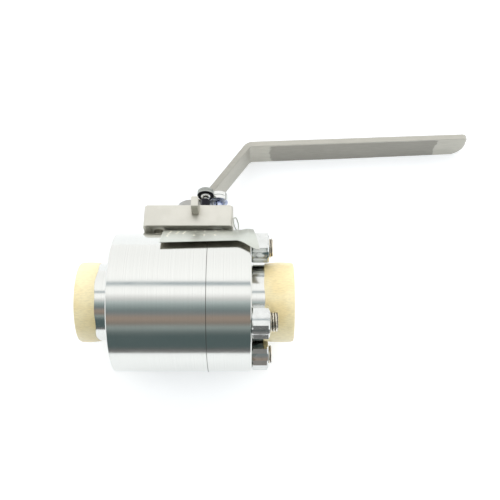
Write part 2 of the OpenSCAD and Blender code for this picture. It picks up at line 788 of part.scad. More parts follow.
// The tag is closed by walls along a loop round its rim
module id_tag() {
    nu = 26;
    nv = 8;
    function at(i, j, side) = side * (nu + 1) * (nv + 1) + i * (nv + 1) + j;
    function two(a, b, c, d) = [[a, b, c], [a, c, d]];
    points = [for (side = [0, 1], i = [0:1:nu], j = [0:1:nv])
        tag_point(i / nu, j / nv, side * tag_t)];
    cells = [for (i = [0:1:nu - 1], j = [0:1:nv - 1]) [i, j]];
    inner = [for (c = cells) each two(at(c.x, c.y, 0), at(c.x + 1, c.y, 0),
        at(c.x + 1, c.y + 1, 0), at(c.x, c.y + 1, 0))];
    outer = [for (c = cells) each two(at(c.x, c.y, 1), at(c.x, c.y + 1, 1),
        at(c.x + 1, c.y + 1, 1), at(c.x + 1, c.y, 1))];
    rim = concat([for (i = [0:1:nu - 1]) [i, 0]], [for (j = [0:1:nv - 1]) [nu, j]],
        [for (i = [nu:-1:1]) [i, nv]], [for (j = [nv:-1:1]) [0, j]]);
    walls = [for (k = [0:1:len(rim) - 1]) let (a = rim[k], b = rim[(k + 1) % len(rim)])
        each two(at(a.x, a.y, 0), at(a.x, a.y, 1), at(b.x, b.y, 1), at(b.x, b.y, 0))];
    color("lightgray") polyhedron(points = points, faces = concat(inner, outer, walls));
}

// A wire ring that stands beside the pad's front corner, above the tag
module tag_wire() {
    color("silver") translate([pad_w / 2 + 2.6, -pad_l / 2 + 5, flat_z + 4.6])
        rotate([90, 0, wire_turn]) rotate_extrude($fn = small_fn)
            translate([wire_ring_r, 0]) circle(r = wire_r, $fn = 24);
}

// Tape round a hub and folded in over its end, from the inner edge to the hub's end
module tape(edge, end) {
    side = sign(end - edge);
    outer = hub_r + run_gap + tape_t;
    lip = hub_r - tape_lip;
    turned_x([[edge, hub_r + run_gap], [end + side * run_gap, hub_r + run_gap],
        [end + side * run_gap, lip], [end + side * (run_gap + tape_t), lip],
        [end + side * (run_gap + tape_t), outer], [edge, outer]]);
}

module inlet_tape() {
    color("khaki") tape(inlet_end + inlet_tape_w, inlet_end);
}

module outlet_tape() {
    color("khaki") tape(outlet_end - outlet_tape_w, outlet_end);
}

body();
closure();
inlet_seat();
outlet_seat();
inlet_seat_spring();
outlet_seat_spring();
body_gasket();
closure_o_ring();
closure_studs();
closure_nuts();
ball();
stem();
stem_thrust_washer();
stem_o_ring();
stem_packing();
packing_follower();
disc_springs();
gland_nut();
antistatic_ball();
antistatic_spring();
mounting_pad();
pad_gasket();
pad_screws();
locating_key();
open_stop_screw();
closed_stop_screw();
stop_plate();
lever_hub();
hub_set_screw();
lever_bar();
lever_weld();
id_tag();
tag_wire();
inlet_tape();
outlet_tape();
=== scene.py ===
"""Looks of a lever-operated ball valve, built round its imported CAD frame.

Each sub-assembly is a class: it holds its sizes, builds its meshes and dresses them.
Sizes in fields are millimetres, and metres() turns them into Blender's units.
"""

import logging
import math
from dataclasses import dataclass, field
from enum import Enum
from typing import Iterable, Sequence

import bmesh
import bpy
import numpy as np
from mathutils import Matrix, Vector


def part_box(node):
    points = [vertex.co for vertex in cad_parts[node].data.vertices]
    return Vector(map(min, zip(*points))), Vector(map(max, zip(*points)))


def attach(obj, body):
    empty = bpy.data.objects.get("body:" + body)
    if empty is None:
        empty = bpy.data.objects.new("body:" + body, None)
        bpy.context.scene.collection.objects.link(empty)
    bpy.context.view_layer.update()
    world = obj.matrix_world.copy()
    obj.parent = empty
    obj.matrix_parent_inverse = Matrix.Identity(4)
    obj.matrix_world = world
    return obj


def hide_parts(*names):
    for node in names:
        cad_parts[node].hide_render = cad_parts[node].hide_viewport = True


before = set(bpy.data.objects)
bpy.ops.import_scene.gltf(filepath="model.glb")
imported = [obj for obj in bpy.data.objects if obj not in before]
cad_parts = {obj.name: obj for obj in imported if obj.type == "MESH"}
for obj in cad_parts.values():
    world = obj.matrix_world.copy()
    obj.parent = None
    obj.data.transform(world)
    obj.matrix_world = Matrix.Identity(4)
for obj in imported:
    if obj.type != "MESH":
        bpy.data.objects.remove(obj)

LOG = logging.getLogger("ball_valve")
# Points nearer than these, in metres, are one: in a mesh made here, and in a CAD mesh
SAME_POINT = 1e-7
CAD_WELD = 2e-6
# CAD triangles that bend less than this, in degrees, are one flat face
FLAT_DEG = 0.4
MM = 0.001
Colour = tuple[float, float, float, float]
Outline = Sequence[tuple[float, float]]


# ---------------------------------------------------------------- small tools


class Body(Enum):
    """The CAD bodies that a piece can ride on."""

    HOUSING = "housing"
    LEVER = "lever"
    BALL = "ball"


class Slot(Enum):
    """The record's finishes that a piece can stand for."""

    POLISHED = "polished_stainless"
    BLASTED = "blasted_stainless"
    NUT = "nut_steel"
    STUD = "stud_steel"
    STEM = "stem_steel"
    HUB = "hub_steel"
    LEVER = "matt_lever_steel"
    WELD = "weld_metal"
    OXIDE = "black_oxide_steel"
    BLUED = "blued_steel"
    TAG = "tag_steel"
    BALL = "polished_ball"
    SEAT = "seat_polymer"
    TAPE = "masking_tape"


def metres(value: float) -> float:
    """Millimetres as metres."""
    return value * MM


def linear(code: str, times: float = 1.0) -> Colour:
    """Turns an sRGB hex colour into linear light.

    Args:
        code: Six hex digits, with or without a leading #.
        times: How many times brighter than the colour itself, for light that overexposes.

    Returns:
        Red, green, blue and alpha, as Blender's sockets take them.
    """
    digits = code.lstrip("#")
    parts = [int(digits[i : i + 2], 16) / 255 for i in (0, 2, 4)]
    light = [c / 12.92 if c <= 0.04045 else ((c + 0.055) / 1.055) ** 2.4 for c in parts]
    return (light[0] * times, light[1] * times, light[2] * times, 1.0)


def add(tree: bpy.types.NodeTree, kind: str, settings: dict | None = None,
        links: dict | None = None) -> bpy.types.Node:
    """Adds one node with its settings and links.

    Args:
        tree: The node tree to add to.
        kind: The node's class name, without the ShaderNode prefix.
        settings: Property names, or input names or numbers, with their values.
        links: Input names or numbers with the output sockets that feed them.

    Returns:
        The new node.
    """
    node = tree.nodes.new("ShaderNode" + kind)
    for name, value in (settings or {}).items():
        if isinstance(name, str) and hasattr(node, name):
            setattr(node, name, value)
        else:
            node.inputs[name].default_value = value
    for name, source in (links or {}).items():
        tree.links.new(source, node.inputs[name])
    return node


def ramp(tree: bpy.types.NodeTree, source: bpy.types.NodeSocket,
         stops: Sequence[tuple[float, float | Colour]], smooth: bool = True) -> bpy.types.NodeSocket:
    """Adds a colour ramp whose stops are (position, grey value or linear colour).

    Args:
        tree: The node tree to add to.
        source: The output socket that drives the ramp.
        stops: The ramp's stops, from left to right.
        smooth: Whether the ramp eases between its stops.

    Returns:
        The ramp's colour output.
    """
    node = add(tree, "ValToRGB", None, {"Fac": source})
    node.color_ramp.interpolation = "EASE" if smooth else "LINEAR"
    elements = node.color_ramp.elements
    while len(elements) < len(stops):
        elements.new(0.5)
    for element, (position, value) in zip(elements, stops):
        element.position = position
        element.color = (value, value, value, 1.0) if isinstance(value, (int, float)) else value
    return node.outputs["Color"]


def mesh_piece(
    name: str,
    verts: Iterable,
    faces: Iterable,
    materials: Sequence[bpy.types.Material],
    slots: Sequence[int] | None = None,
    sharp_deg: float = 32.0,
) -> bpy.types.Object:
    """Makes an object from points and faces, in metres, smooth up to a crease angle.

    Args:
        name: The piece's name.
        verts: Its points.
        faces: Its faces, as lists of point numbers.
        materials: Its materials.
        slots: A material number for each face, or None for the first material all over.
        sharp_deg: Edges sharper than this stay sharp.

    Returns:
        The new object.
    """
    mesh = bpy.data.meshes.new(name)
    mesh.from_pydata([tuple(v) for v in verts], [], [tuple(f) for f in faces])
    for material in materials:
        mesh.materials.append(material)
    if slots is not None:
        mesh.polygons.foreach_set("material_index", list(slots))
    return finish_mesh(mesh, name, sharp_deg)


def finish_mesh(mesh: bpy.types.Mesh, name: str, sharp_deg: float) -> bpy.types.Object:
    """Tidies a mesh's normals, marks its sharp edges and puts it in the scene.

    Args:
        mesh: The mesh to tidy.
        name: The new object's name.
        sharp_deg: Edges sharper than this stay sharp.

    Returns:
        The new object.
    """
    work = bmesh.new()
    work.from_mesh(mesh)
    bmesh.ops.remove_doubles(work, verts=work.verts, dist=SAME_POINT)
    bmesh.ops.recalc_face_normals(work, faces=work.faces)
    crease(work, sharp_deg)
    work.to_mesh(mesh)
    work.free()
    return placed_in_scene(name, mesh)


def placed_in_scene(name: str, mesh: bpy.types.Mesh) -> bpy.types.Object:
    """Makes an object of a mesh and puts it in the scene.

    Args:
        name: The object's name.
        mesh: Its mesh.

    Returns:
        The new object.
    """
    made = bpy.data.objects.new(name, mesh)
    bpy.context.scene.collection.objects.link(made)
    return made


def crease(work: bmesh.types.BMesh, sharp_deg: float) -> None:
    """Smooths every face, and keeps the edges sharp that bend more than an angle.

    Args:
        work: The open mesh.
        sharp_deg: Edges sharper than this stay sharp.
    """
    limit = math.radians(sharp_deg)
    for edge in work.edges:
        edge.smooth = len(edge.link_faces) == 2 and edge.calc_face_angle(0.0) < limit
    for face in work.faces:
        face.smooth = True


def applied(piece: bpy.types.Object) -> None:
    """Turns a piece's modifiers into its mesh.

    Args:
        piece: The piece with modifiers.
    """
    graph = bpy.context.evaluated_depsgraph_get()
    mesh = bpy.data.meshes.new_from_object(piece.evaluated_get(graph))
    old = piece.data
    piece.modifiers.clear()
    piece.data = mesh
    bpy.data.meshes.remove(old)


def mark_sharp(piece: bpy.types.Object, sharp_deg: float) -> None:
    """Sets a piece's smooth and sharp edges by angle.

    Args:
        piece: The piece to mark.
        sharp_deg: Edges sharper than this stay sharp.
    """
    work = bmesh.new()
    work.from_mesh(piece.data)
    crease(work, sharp_deg)
    work.to_mesh(piece.data)
    work.free()


def softened(name: str, node: str, width_mm: float, materials: Sequence[bpy.types.Material],
             segments: int = 2, angle_deg: float = 40.0) -> bpy.types.Object:
    """Copies a CAD node's mesh and breaks its sharp edges, as a deburred part has them.

    Args:
        name: The new piece's name.
        node: The CAD node to copy.
        width_mm: The width of the broken edge.
        materials: The new piece's materials.
        segments: How many faces round each edge.
        angle_deg: Edges sharper than this are broken.

    Returns:
        The new piece, which doesn't yet stand for the node.
    """
    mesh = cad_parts[node].data.copy()
    mesh.name = name
    mesh.materials.clear()
    for material in materials:
        mesh.materials.append(material)
    mesh.polygons.foreach_set("material_index", [0] * len(mesh.polygons))
    work = bmesh.new()
    work.from_mesh(mesh)
    bmesh.ops.remove_doubles(work, verts=work.verts, dist=CAD_WELD)
    bmesh.ops.dissolve_limit(work, angle_limit=math.radians(FLAT_DEG), verts=work.verts, edges=work.edges)
    bmesh.ops.recalc_face_normals(work, faces=work.faces)
    work.to_mesh(mesh)
    work.free()
    piece = placed_in_scene(name, mesh)
    bevel = piece.modifiers.new("broken edge", "BEVEL")
    bevel.width = metres(width_mm)
    bevel.segments = segments
    bevel.limit_method = "ANGLE"
    bevel.angle_limit = math.radians(angle_deg)
    bevel.harden_normals = False
    applied(piece)
    mark_sharp(piece, angle_deg)
    return piece


def turned_normals(piece: bpy.types.Object) -> None:
    """Gives the faces turned about the flow axis the true normals of their surface.

    Long facets shade in wedges when their corners share averaged normals. The slope of each
    facet is kept and carried round the axis; flat faces keep their own normal.

    Args:
        piece: The turned piece, whose axis is the shared frame's X axis.
    """
    mesh = piece.data
    normals = [Vector(corner.vector) for corner in mesh.corner_normals]
    for face in mesh.polygons:
        reach = math.hypot(face.center.y, face.center.z)
        if reach < metres(1):
            continue
        along = face.normal.x
        outward = (face.normal.y * face.center.y + face.normal.z * face.center.z) / reach
        radii = [math.hypot(mesh.vertices[v].co.y, mesh.vertices[v].co.z) for v in face.vertices]
        flat = abs(along) < 0.02 and max(radii) - min(radii) > metres(0.05)
        if abs(along) > 0.999 or flat:
            for loop in face.loop_indices:
                normals[loop] = face.normal.copy()
        elif along * along + outward * outward > 0.998:
            for loop in face.loop_indices:
                _, y, z = mesh.vertices[mesh.loops[loop].vertex_index].co
                size = max(math.hypot(y, z), 1e-9)
                normals[loop] = Vector((along, outward * y / size, outward * z / size)).normalized()
    mesh.normals_split_custom_set(normals)


def ring_faces(rows: int, columns: int, base: int = 0, looped: bool = False) -> list[tuple[int, ...]]:
    """Joins closed rings of points, one after another, with four-sided faces.

    Args:
        rows: How many rings.
        columns: How many points in each.
        base: The number of the first point.
        looped: Whether the last ring joins the first.

    Returns:
        The faces, ring by ring.
    """
    faces = []
    for i in range(rows if looped else rows - 1):
        here, there = base + i * columns, base + (i + 1) % rows * columns
        for k in range(columns):
            n = (k + 1) % columns
            faces.append((here + k, here + n, there + n, there + k))
    return faces


def lathe(profile: Outline, steps: int = 96) -> tuple[list, list]:
    """Turns an outline of (radius, height) points about +Z, in millimetres.

    Args:
        profile: The outline's points in order. A radius of 0 closes on the axis.
        steps: How many steps round the axis.

    Returns:
        The points, in metres, and the faces.
    """
    verts = []
    for r, z in profile:
        for k in range(steps):
            a = 2 * math.pi * k / steps
            verts.append((metres(r * math.cos(a)), metres(r * math.sin(a)), metres(z)))
    faces = ring_faces(len(profile), steps)
    return verts, [f for f in faces if len(set(verts[n] for n in f)) > 2]


def placed(verts: Iterable, matrix: Matrix) -> list[Vector]:
    """Moves points by a matrix.

    Args:
        verts: The points.
        matrix: The move.

    Returns:
        The moved points.
    """
    return [matrix @ Vector(v) for v in verts]


def hand_over(piece: bpy.types.Object, body: Body, slot: Slot, *nodes: str) -> None:
    """Makes a piece ride on a body, and lets it stand for CAD nodes.

    Args:
        piece: The visual piece.
        body: The CAD body that it rides on.
        slot: The record's finish that it stands for; not used.
        nodes: The CAD nodes that it replaces.
    """
    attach(piece, body.value)
    if nodes:
        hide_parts(*nodes)
    LOG.info("piece %s rides on %s, %d faces", piece.name, body.value, len(piece.data.polygons))


def dress(node: str, material: bpy.types.Material) -> None:
    """Gives a CAD node its material.

    Args:
        node: The CAD node, whose mesh stays as it is.
        material: Its finish.
    """
    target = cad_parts[node]
    target.data.materials.clear()
    target.data.materials.append(material)
    LOG.info("node %s is dressed in %s", node, material.name)


# ------------------------------------------------------------------- finishes


def blank_material(name: str) -> tuple[bpy.types.Material, bpy.types.NodeTree, bpy.types.Node]:
    """Starts a material with one Principled shader.

    Args:
        name: The material's name.

    Returns:
        The material, its node tree and the shader.
    """
    material = bpy.data.materials.new(name)
    material.use_nodes = True
    tree = material.node_tree
    return material, tree, tree.nodes["Principled BSDF"]


def object_parts(tree: bpy.types.NodeTree) -> tuple[bpy.types.NodeSocket, bpy.types.Node]:
    """Adds the shared frame's coordinates, in metres.

    Args:
        tree: The node tree to add to.

    Returns:
        The coordinates' socket, and the node that splits them in three.
    """
    coords = add(tree, "TexCoord").outputs["Object"]
    return coords, add(tree, "SeparateXYZ", None, {"Vector": coords})


@dataclass(frozen=True)
class TurnedStainless:
    """Turned and polished 316 stainless steel.

    The tool's feed leaves fine rings round the flow axis, so the eye sees crisp bands of the
    room along the barrel, broken by hair-thin lines, with faint rings on the flat faces.
    """

    name: str = "turned and polished stainless steel"
    colour: str = "#E2E3E0"
    dull: str = "#CFD0CC"
    roughness: float = 0.115
    ring_mm: float = 0.9
    # Worn patches per metre: each is about 38 mm across
    wear_per_m: float = 26.0

    def build(self) -> bpy.types.Material:
        """Makes the material.

        Returns:
            The material.
        """
        material, tree, shader = blank_material(self.name)
        coords, parts = object_parts(tree)
        x, y, z = (parts.outputs[axis] for axis in "XYZ")
        square = add(tree, "Math", {"operation": "MULTIPLY"}, {0: y, 1: y})
        radius2 = add(tree, "Math", {"operation": "MULTIPLY_ADD"}, {0: z, 1: z, 2: square.outputs[0]})
        radius = add(tree, "Math", {"operation": "SQRT"}, {0: radius2.outputs[0]})
        along = add(tree, "Math", {"operation": "ADD"}, {0: x, 1: radius.outputs[0]})
        # The feed marks are nearer 0.1 mm; they are drawn at ring_mm so that they show
        rings = add(tree, "TexNoise", {"noise_dimensions": "1D", "Scale": 1 / metres(self.ring_mm),
                                       "Detail": 4.0, "Roughness": 0.7}, {"W": along.outputs[0]})
        wear = add(tree, "TexNoise", {"Scale": self.wear_per_m, "Detail": 5.0, "Roughness": 0.6},
                   {"Vector": coords})
        haze = ramp(tree, wear.outputs["Fac"], [(0.35, 0.0), (0.7, 1.0)])
        rough = add(tree, "Math", {"operation": "MULTIPLY_ADD", 1: 0.05, 2: self.roughness - 0.02},
                    {0: haze})
        rough_rings = add(tree, "Math", {"operation": "MULTIPLY_ADD", 1: 0.05},
                          {0: rings.outputs["Fac"], 2: rough.outputs[0]})
        tint = add(tree, "Mix", {"data_type": "RGBA", 6: linear(self.colour), 7: linear(self.dull)},
                   {0: rings.outputs["Fac"]})
        bump = add(tree, "Bump", {"Strength": 0.03, "Distance": metres(0.02)},
                   {"Height": rings.outputs["Fac"]})
        tree.links.new(tint.outputs[2], shader.inputs["Base Color"])
        tree.links.new(rough_rings.outputs[0], shader.inputs["Roughness"])
        tree.links.new(bump.outputs[0], shader.inputs["Normal"])
        shader.inputs["Metallic"].default_value = 1.0
        return material


@dataclass(frozen=True)
class GrainedSteel:
    """Stainless steel with a fine overall grain: blasted, pickled, ground or plated.

    The eye sees a soft, even sheen with faint blotches and a grain it can just make out.
    """

    name: str
    colour: str
    stain: str
    roughness: float
    grain_mm: float
    grain_depth_mm: float = 0.02
    blotch_mm: float = 18.0
    rough_swing: float = 0.1
    stain_share: float = 0.5

    def build(self) -> bpy.types.Material:
        """Makes the material.

        Returns:
            The material.
        """
        material, tree, shader = blank_material(self.name)
        coords, _ = object_parts(tree)
        grain = add(tree, "TexNoise", {"Scale": 1 / metres(self.grain_mm), "Detail": 3.0},
                    {"Vector": coords})
        blotch = add(tree, "TexNoise", {"Scale": 1 / metres(self.blotch_mm), "Detail": 6.0,
                                        "Roughness": 0.62}, {"Vector": coords})
        share = ramp(tree, blotch.outputs["Fac"], [(0.38, 0.0), (0.66, self.stain_share)])
        tint = add(tree, "Mix", {"data_type": "RGBA", 6: linear(self.colour), 7: linear(self.stain)},
                   {0: share})
        rough = add(tree, "Math", {"operation": "MULTIPLY_ADD", 1: self.rough_swing,
                                   2: self.roughness - self.rough_swing / 2}, {0: blotch.outputs["Fac"]})
        bump = add(tree, "Bump", {"Strength": 0.35, "Distance": metres(self.grain_depth_mm)},
                   {"Height": grain.outputs["Fac"]})
        tree.links.new(tint.outputs[2], shader.inputs["Base Color"])
        tree.links.new(rough.outputs[0], shader.inputs["Roughness"])
        tree.links.new(bump.outputs[0], shader.inputs["Normal"])
        shader.inputs["Metallic"].default_value = 1.0
        return material


@dataclass(frozen=True)
class PickledBar:
    """Hot-rolled stainless flat bar, pickled: a dull mill surface.

    The eye sees grey metal with a darker, sharp-edged patch where the grip was handled and
    masked, long faint rolling lines, and small pits.
    """

    name: str = "pickled hot-rolled stainless bar"
    colour: str = "#BCBAB1"
    patch: str = "#8F8D86"
    roughness: float = 0.42
    patch_from: float = 58.0
    patch_to: float = 218.0
    half_width: float = 12.0
    # How far the patch takes to fade at its start and beyond its end
    fade_in: float = 26.0
    fade_out: float = 12.0
    # Rolling lines and blotches per metre: about 1.1 mm and 18 mm across
    lines_per_m: float = 900.0
    blotches_per_m: float = 55.0

    @staticmethod
    def fade(tree: bpy.types.NodeTree, along: bpy.types.NodeSocket, none_mm: float,
             full_mm: float) -> bpy.types.NodeSocket:
        """Adds a share that grows from nothing at one place to all at another.

        Args:
            tree: The node tree to add to.
            along: The coordinate it follows.
            none_mm: Where the share is 0.
            full_mm: Where the share is 1.

        Returns:
            The share's socket.
        """
        return add(tree, "MapRange", {"From Min": metres(none_mm), "From Max": metres(full_mm)},
                   {"Value": along}).outputs[0]

    def build(self) -> bpy.types.Material:
        """Makes the material.

        Returns:
            The material.
        """
        material, tree, shader = blank_material(self.name)
        coords, parts = object_parts(tree)
        stretch = add(tree, "Mapping", {"Scale": (0.12, 1.0, 1.0)}, {"Vector": coords})
        rolling = add(tree, "TexNoise", {"Scale": self.lines_per_m, "Detail": 4.0, "Roughness": 0.65},
                      {"Vector": stretch.outputs[0]})
        blotch = add(tree, "TexNoise", {"Scale": self.blotches_per_m, "Detail": 7.0, "Roughness": 0.68},
                     {"Vector": coords})
        x, y = parts.outputs["X"], parts.outputs["Y"]
        start = self.fade(tree, x, self.patch_from, self.patch_from + self.fade_in)
        stop = self.fade(tree, x, self.patch_to + self.fade_out, self.patch_to)
        both = add(tree, "Math", {"operation": "MULTIPLY"}, {0: start, 1: stop})
        uneven = add(tree, "Math", {"operation": "MULTIPLY_ADD", 1: 0.9, 2: -0.45},
                     {0: blotch.outputs["Fac"]})
        # The patch keeps off the bar's front edge, which stays light along the grip as a painted highlight;
        # on the leg a faint darker strip runs along that edge
        behind = self.fade(tree, y, 0.4 - self.half_width, 1.4 - self.half_width)
        inner = add(tree, "Math", {"operation": "MULTIPLY"}, {0: both.outputs[0], 1: behind})
        edge = add(tree, "Math", {"operation": "ADD"}, {0: inner.outputs[0], 1: uneven.outputs[0]})
        mask = ramp(tree, edge.outputs[0], [(0.46, 0.0), (0.54, 0.8)])
        front = self.fade(tree, y, 1.6 - self.half_width, 0.2 - self.half_width)
        leg = self.fade(tree, x, self.patch_from - 2, self.patch_from - 14)
        scuffed = add(tree, "Math", {"operation": "MULTIPLY"}, {0: front, 1: leg})
        faint = add(tree, "Math", {"operation": "MULTIPLY", 1: 0.35}, {0: scuffed.outputs[0]})
        worn = add(tree, "Math", {"operation": "MAXIMUM"}, {0: mask, 1: faint.outputs[0]})
        tint = add(tree, "Mix", {"data_type": "RGBA", 6: linear(self.colour), 7: linear(self.patch)},
                   {0: worn.outputs[0]})
        lines = add(tree, "Mix", {"data_type": "RGBA", "blend_type": "MULTIPLY", 0: 0.35},
                    {6: tint.outputs[2], 7: ramp(tree, rolling.outputs["Fac"], [(0.3, 0.72), (0.7, 1.0)])})
        rough = add(tree, "Math", {"operation": "MULTIPLY_ADD", 1: 0.16, 2: self.roughness - 0.08},
                    {0: blotch.outputs["Fac"]})
        bump = add(tree, "Bump", {"Strength": 0.25, "Distance": metres(0.03)},
                   {"Height": rolling.outputs["Fac"]})
        tree.links.new(lines.outputs[2], shader.inputs["Base Color"])
        tree.links.new(rough.outputs[0], shader.inputs["Roughness"])
        tree.links.new(bump.outputs[0], shader.inputs["Normal"])
        shader.inputs["Metallic"].default_value = 1.0
        return material


@dataclass(frozen=True)
class Coating:
    """A plain non-metal: turned PTFE, graphite, O-ring rubber.

    The eye sees a dull solid colour with a slight cloudiness.
    """

    name: str
    colour: str
    shade: str
    roughness: float
    ior: float = 1.45
    # Clouds per metre: each is about 11 mm across
    clouds_per_m: float = 90.0

    def build(self) -> bpy.types.Material:
        """Makes the material.

        Returns:
            The material.
        """
        material, tree, shader = blank_material(self.name)
        coords, _ = object_parts(tree)
        cloud = add(tree, "TexNoise", {"Scale": self.clouds_per_m, "Detail": 4.0}, {"Vector": coords})
        tint = add(tree, "Mix", {"data_type": "RGBA", 6: linear(self.colour), 7: linear(self.shade)},
                   {0: cloud.outputs["Fac"]})
        tree.links.new(tint.outputs[2], shader.inputs["Base Color"])
        shader.inputs["Roughness"].default_value = self.roughness
        shader.inputs["IOR"].default_value = self.ior
        return material


@dataclass(frozen=True)
class CrepedTape:
    """Creped paper masking tape, rubber-backed.

    The eye sees warm cream paper, darker where layers lie over each other, with fine crepe
    ridges across the tape and a faint sheen on its creases.
    """

    name: str = "creped paper masking tape"
    colour: str = "#FBEDC0"
    shade: str = "#F1DA9E"
    roughness: float = 0.5
    # The real ridges are finer; they are drawn at crepe_mm so that they show
    crepe_mm: float = 0.8
    # The hub's radius in metres, which turns an angle into a length round the tape
    hub_radius_m: float = 0.0325
    # Folds and layers per metre: about 10 mm and 29 mm across
    folds_per_m: float = 95.0
    layers_per_m: float = 34.0
    gloss: float = 0.45

    def build(self) -> bpy.types.Material:
        """Makes the material.

        Returns:
            The material.
        """
        material, tree, shader = blank_material(self.name)
        coords, parts = object_parts(tree)
        angle = add(tree, "Math", {"operation": "ARCTAN2"}, {0: parts.outputs["Z"], 1: parts.outputs["Y"]})
        around = add(tree, "Math", {"operation": "MULTIPLY", 1: self.hub_radius_m}, {0: angle.outputs[0]})
        flat = add(tree, "CombineXYZ", None, {0: parts.outputs["X"], 1: around.outputs[0]})
        squeeze = add(tree, "Mapping", {"Scale": (0.22, 1.0, 1.0)}, {"Vector": flat.outputs[0]})
        crepe = add(tree, "TexNoise", {"Scale": 1 / metres(self.crepe_mm), "Detail": 3.0,
                                       "Distortion": 0.4}, {"Vector": squeeze.outputs[0]})
        folds = add(tree, "TexNoise", {"Scale": self.folds_per_m, "Detail": 5.0, "Roughness": 0.7,
                                       "Distortion": 1.2}, {"Vector": coords})
        layer = add(tree, "TexNoise", {"Scale": self.layers_per_m, "Detail": 2.0}, {"Vector": coords})
        dark = ramp(tree, layer.outputs["Fac"], [(0.42, 0.0), (0.62, 0.6)])
        tint = add(tree, "Mix", {"data_type": "RGBA", 6: linear(self.colour), 7: linear(self.shade)},
                   {0: dark})
        lines = add(tree, "Mix", {"data_type": "RGBA", "blend_type": "MULTIPLY", 0: 0.55},
                    {6: tint.outputs[2], 7: ramp(tree, crepe.outputs["Fac"], [(0.3, 0.8), (0.62, 1.0)])})
        height = add(tree, "Math", {"operation": "MULTIPLY_ADD", 1: 1.6},
                     {0: folds.outputs["Fac"], 2: crepe.outputs["Fac"]})
        bump = add(tree, "Bump", {"Strength": 0.5, "Distance": metres(0.16)}, {"Height": height.outputs[0]})
        tree.links.new(lines.outputs[2], shader.inputs["Base Color"])
        tree.links.new(bump.outputs[0], shader.inputs["Normal"])
        shader.inputs["Roughness"].default_value = self.roughness
        shader.inputs["IOR"].default_value = 1.47
        shader.inputs["Coat Weight"].default_value = self.gloss
        shader.inputs["Coat Roughness"].default_value = 0.12
        return material


@dataclass
class Finishes:
    """Every finish of the valve, made once."""

    turned: bpy.types.Material = field(init=False)
    blasted: bpy.types.Material = field(init=False)
    lever: bpy.types.Material = field(init=False)
    hub: bpy.types.Material = field(init=False)
    weld: bpy.types.Material = field(init=False)
    nut: bpy.types.Material = field(init=False)
    thread: bpy.types.Material = field(init=False)
    oxide: bpy.types.Material = field(init=False)
    knurl: bpy.types.Material = field(init=False)
    bright: bpy.types.Material = field(init=False)
    blued: bpy.types.Material = field(init=False)
    sheet: bpy.types.Material = field(init=False)
    matt: bpy.types.Material = field(init=False)
    dot: bpy.types.Material = field(init=False)
    mirror: bpy.types.Material = field(init=False)
    spring: bpy.types.Material = field(init=False)
    seam: bpy.types.Material = field(init=False)
    ptfe: bpy.types.Material = field(init=False)
    graphite: bpy.types.Material = field(init=False)
    rubber: bpy.types.Material = field(init=False)
    tape: bpy.types.Material = field(init=False)

    def __post_init__(self) -> None:
        """Builds the materials."""
        # Barrel and flanges: a mirror with fine rings, which shows the room in bands
        self.turned = TurnedStainless().build()
        # Pad: an even, light grey surface with no mirror image in it
        self.blasted = GrainedSteel(
            "bead-blasted stainless steel", "#D3D1C8", "#C7C5BB", 0.42, 0.5, 0.025).build()
        # Lever: dull grey bar with one darker patch; hub: a darker, cleaner grey
        self.lever = PickledBar().build()
        self.hub = GrainedSteel("turned stainless steel", "#AAAAA7", "#9C9B96", 0.3, 0.4).build()
        # Weld: straw and brown heat colours, in small blotches
        self.weld = GrainedSteel("TIG weld bead", "#A39A88", "#7D7468", 0.34, 0.6, 0.02, 5.0).build()
        # Nuts: nearly a mirror, so that each flat takes one tone; threads: warmer and softer
        self.nut = GrainedSteel(
            "cold-formed stainless nut", "#D8DAD8", "#C6C8C5", 0.12, 0.5, 0.006, 9.0, 0.04).build()
        self.thread = GrainedSteel(
            "rolled stainless thread", "#E2DCCE", "#C4BCAC", 0.26, 0.5, 0.01, 6.0).build()
        # Open stop screw: a grey head; its nearly black underside and shank are painted shade, and its
        # bright collar is a painted highlight
        self.oxide = GrainedSteel("blackened steel and painted shade", "#2B2B30", "#1C1C20", 0.3, 0.4, 0.01).build()
        self.knurl = GrainedSteel("zinc-plated steel", "#A8ABA6", "#8C8F8C", 0.28, 0.5, 0.02, 4.0).build()
        self.bright = GrainedSteel("bright turned steel", "#DEDFDC", "#D2D3D0", 0.16, 0.4, 0.01).build()
        # Closed stop screw: a dark-blue reflection painted on its underside and shank, lighter and darker
        # in patches
        self.blued = GrainedSteel("painted dark-blue reflection on steel", "#C0C8DC", "#68729A", 0.2, 0.5, 0.008, 5.0).build()
        # Tag: a soft sheen outside; a matt inner face, painted lighter and warmer for the light that
        # reaches under the tag; and punched dots of fresh metal, brightened as a painted highlight
        self.sheet = GrainedSteel(
            "rolled stainless sheet", "#CDD0C8", "#C2C5BD", 0.36, 0.35, 0.012, 14.0).build()
        self.matt = GrainedSteel(
            "matt inner side of the sheet, painted lighter", "#D8D3C6", "#C4BEB0", 0.6, 0.4, 0.012).build()
        self.dot = GrainedSteel("fresh punched stainless and painted highlight", "#F6F2E2", "#ECE7D4", 0.3, 0.3, 0.01).build()
        # Inner parts: a mirror ball and plain grey springs
        self.mirror = GrainedSteel("lapped stainless ball", "#EAEAEA", "#E2E2E2", 0.05, 0.3, 0.002).build()
        self.spring = GrainedSteel("spring steel", "#A8A8A6", "#8C8C8A", 0.3, 0.3, 0.01).build()
        # Joints and thread roots: a thin dark line, the joint's own dark colour and painted shade in the
        # thread roots
        self.seam = Coating("old oil in a joint and painted shade in thread roots", "#4A463E", "#2E2A26", 0.35).build()
        # Seals: milky white, dark grey and black, none of them shiny
        self.ptfe = Coating("turned PTFE", "#EFEDE4", "#E3E0D5", 0.45, 1.35).build()
        self.graphite = Coating("graphite gasket", "#3A3A3D", "#2C2C2F", 0.5, 1.8).build()
        self.rubber = Coating("O-ring rubber", "#1B1B1B", "#141414", 0.4, 1.52).build()
        # Hub wrapping: warm cream paper with ridges and folds
        self.tape = CrepedTape().build()


# ---------------------------------------------------------------- the studio


